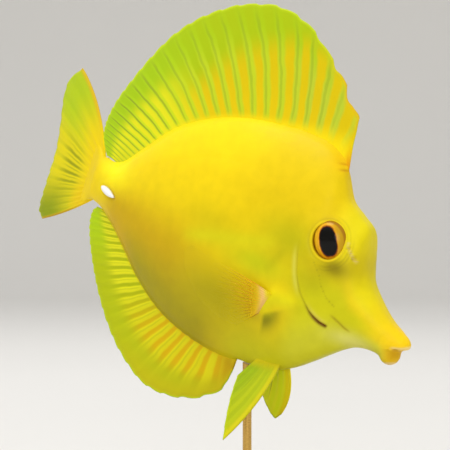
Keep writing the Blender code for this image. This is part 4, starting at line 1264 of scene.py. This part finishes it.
for side, sign in (("right", -1), ("left", 1)):
    tips, spread = PELVIC_TIPS[side], PELVIC_SPREAD[side]

    def pelvic_root(q):
        s = PELVIC_START + (PELVIC_STOP - PELVIC_START) * q
        return np.stack([s, belly_height(s, PELVIC_OUT) - GAP], -1)

    def hung(s, h, q, along, off):
        drop = np.maximum(pelvic_root(q)[..., 1] - h, 0.0)
        return sign * (PELVIC_OUT + spread * drop + off)

    sheet, ray, reach, up_ray, below_tip = fin_sheet(
        "pelvic fin",
        PELVIC_RAYS,
        PELVIC_STEPS,
        PELVIC_ROWS,
        pelvic_root,
        lambda q: through(tips, q),
        hung,
        PELVIC_HOLLOWS,
        lambda q: -PELVIC_BOW[side] * (1 - q),
        PELVIC_RIDGE,
    )
    keep_zones(
        sheet,
        ray=ray,
        bands=ramp(up_ray, 1.0, 4.0) * 0.7,
        lines=ramp(ray, 2.0, 3.0) * ramp(up_ray, 2.0, 6.0) * ramp(reach, 0.9, 0.5) * 0.5,
        rear=ramp(ray, 2.0, 4.0),
        # painted light: the left fin brighter, as if lit through from behind
        left_fin=np.full(len(ray), 0.0 if sign < 0 else 1.0),
        lead=ramp(ray, 0.9, 0.3),
        left_lead=ramp(ray, 1.2, 0.4) * (sign > 0),
        root=ramp(up_ray, 3.0, 0.5),
        margin=ramp(below_tip, 0.7, 0.1),
    )
    fin_pair(
        "pelvic", "_" + side, "pelvic_fin_" + side, sheet, PELVIC_STEPS, PELVIC_ROWS, PELVIC_RAY, pelvic_paint
    )

# Tail blades: a hard white blade folded forward into a groove on each side of the tail stem, pointed in front
# and hinged behind, carved and polished like bone.
BLADE_LENGTH, BLADE_WIDTH, BLADE_HEIGHT = 7.4, 2.2, 0.9
BLADE_STEPS, BLADE_ROWS, BLADE_BLUNT = 49, 21, 2.4
blade_paint, tree, surface = new_material("polished white blade")
place = add_node(tree, "ShaderNodeTexCoord").outputs["Object"]
cloud = add_node(tree, "ShaderNodeTexNoise", {"Vector": place, "Scale": 500.0, "Detail": 2.0}).outputs[0]
tone = add_node(
    tree, "ShaderNodeMix", {0: cloud, 6: linear("#FFFFFF"), 7: linear("#E8E8EC")}, data_type="RGBA"
).outputs[2]
gloss = add_node(
    tree, "ShaderNodeMapRange", {"Value": cloud, **NOISE_SPAN, "To Min": 0.18, "To Max": 0.3}
).outputs[0]
shader = add_node(tree, "ShaderNodeBsdfPrincipled", {"Base Color": tone, "Roughness": gloss, "IOR": 1.54})
tree.links.new(shader.outputs[0], surface)


def blade(sign):
    """One blade, a closed sheet with a domed outer face, let into its groove."""
    a = np.linspace(-1, 1, BLADE_STEPS)[:, None]
    b = np.sin(np.linspace(-math.pi / 2, math.pi / 2, BLADE_ROWS))[None]
    a, b = np.broadcast_arrays(a, b)
    narrow = np.sqrt(np.maximum(1 - np.abs(a) ** BLADE_BLUNT, 0.0)) * (0.62 + 0.38 * ramp(a, -1.0, 0.1))
    narrow = np.maximum(narrow, 0.02)
    s = BLADE_S + a * BLADE_LENGTH / 2
    h = BLADE_H + (s - BLADE_S) * BLADE_SLOPE + b * narrow * BLADE_WIDTH / 2
    inner = half_width(s, h)
    dome = BLADE_GROOVE + BLADE_HEIGHT * narrow * np.sqrt(np.maximum(1 - b * b, 0.0))
    top = np.stack([s, h, sign * (inner + dome)], -1)
    low = np.stack([s, h, sign * (inner - BLADE_GROOVE)], -1)
    return closed_sheet("blade", top, low, merged=True)


for side, sign in (("right", -1), ("left", 1)):
    fish_piece("white_blade_" + side, blade(sign), blade_paint, "blade", "tail_blade_" + side)

# Room: a round studio of matt pale paper, its floor swept up into the wall, under one large soft lamp from
# above and in front, weaker ones from the camera's side and from behind, and pale light from the open top.
ROOM_RADIUS, ROOM_SWEEP, ROOM_HEIGHT = 2.4, 0.5, 1.1
SWEEP_STEPS, ROOM_SIDES = 17, 96
paper, tree, surface = new_material("pale matt paper")
place = add_node(tree, "ShaderNodeTexCoord").outputs["Object"]
fibre = add_node(tree, "ShaderNodeTexNoise", {"Vector": place, "Scale": 3.0, "Detail": 2.0}).outputs[0]
tone = add_node(
    tree, "ShaderNodeMix", {0: fibre, 6: linear("#E6E4E0"), 7: linear("#E2E0DC")}, data_type="RGBA"
).outputs[2]
shader = add_node(
    tree, "ShaderNodeBsdfPrincipled", {"Base Color": tone, "Roughness": 0.9, "Specular IOR Level": 0.1}
)
tree.links.new(shader.outputs[0], surface)
sweep = [
    (ROOM_RADIUS - ROOM_SWEEP + ROOM_SWEEP * math.sin(a), ROOM_SWEEP - ROOM_SWEEP * math.cos(a))
    for a in np.linspace(0, math.pi / 2, SWEEP_STEPS)
]
profile = [(0.0, 0.0), (0.5, 0.0), (1.0, 0.0), *sweep, (ROOM_RADIUS, ROOM_HEIGHT)]
shape = bmesh.new()
line = [shape.verts.new((x, 0.0, z)) for x, z in profile]
wires = [shape.edges.new(pair) for pair in zip(line, line[1:])]
bmesh.ops.spin(
    shape,
    geom=line + wires,
    axis=(0, 0, 1),
    cent=(0, 0, 0),
    steps=ROOM_SIDES,
    angle=math.tau,
    use_merge=True,
)
bmesh.ops.remove_doubles(shape, verts=shape.verts, dist=1e-5)
bmesh.ops.recalc_face_normals(shape, faces=shape.faces)
mesh = bpy.data.meshes.new("studio")
shape.to_mesh(mesh)
shape.free()
mesh.shade_smooth()
studio = bpy.data.objects.new("studio", mesh)
bpy.context.scene.collection.objects.link(studio)
clothe(studio, paper)

LAMPS_AIM = Vector((0.0, 0.0, 0.08))
for name, place, size, watts in (
    ("key lamp", (-0.12, -0.5, 1.15), 0.7, 5.5),
    ("fill lamp", (0.45, -0.95, 0.25), 0.5, 1.7),
    ("back lamp", (-0.5, 0.7, 1.0), 0.6, 2.5),
):
    light = bpy.data.lights.new(name, "AREA")
    light.shape = "DISK"
    light.size = size
    light.energy = watts
    lamp = bpy.data.objects.new(name, light)
    bpy.context.scene.collection.objects.link(lamp)
    lamp.location = place
    lamp.rotation_euler = (LAMPS_AIM - Vector(place)).to_track_quat("-Z", "Y").to_euler()

sky = bpy.data.worlds.new("open top")
bpy.context.scene.world = sky
sky.use_nodes = True
sky.node_tree.nodes.clear()
glow = add_node(sky.node_tree, "ShaderNodeBackground", {"Color": linear("#FFFFFF"), "Strength": 0.8})
sky.node_tree.links.new(
    glow.outputs[0], sky.node_tree.nodes.new("ShaderNodeOutputWorld").inputs["Surface"]
)
bpy.context.scene.view_settings.view_transform = "Standard"
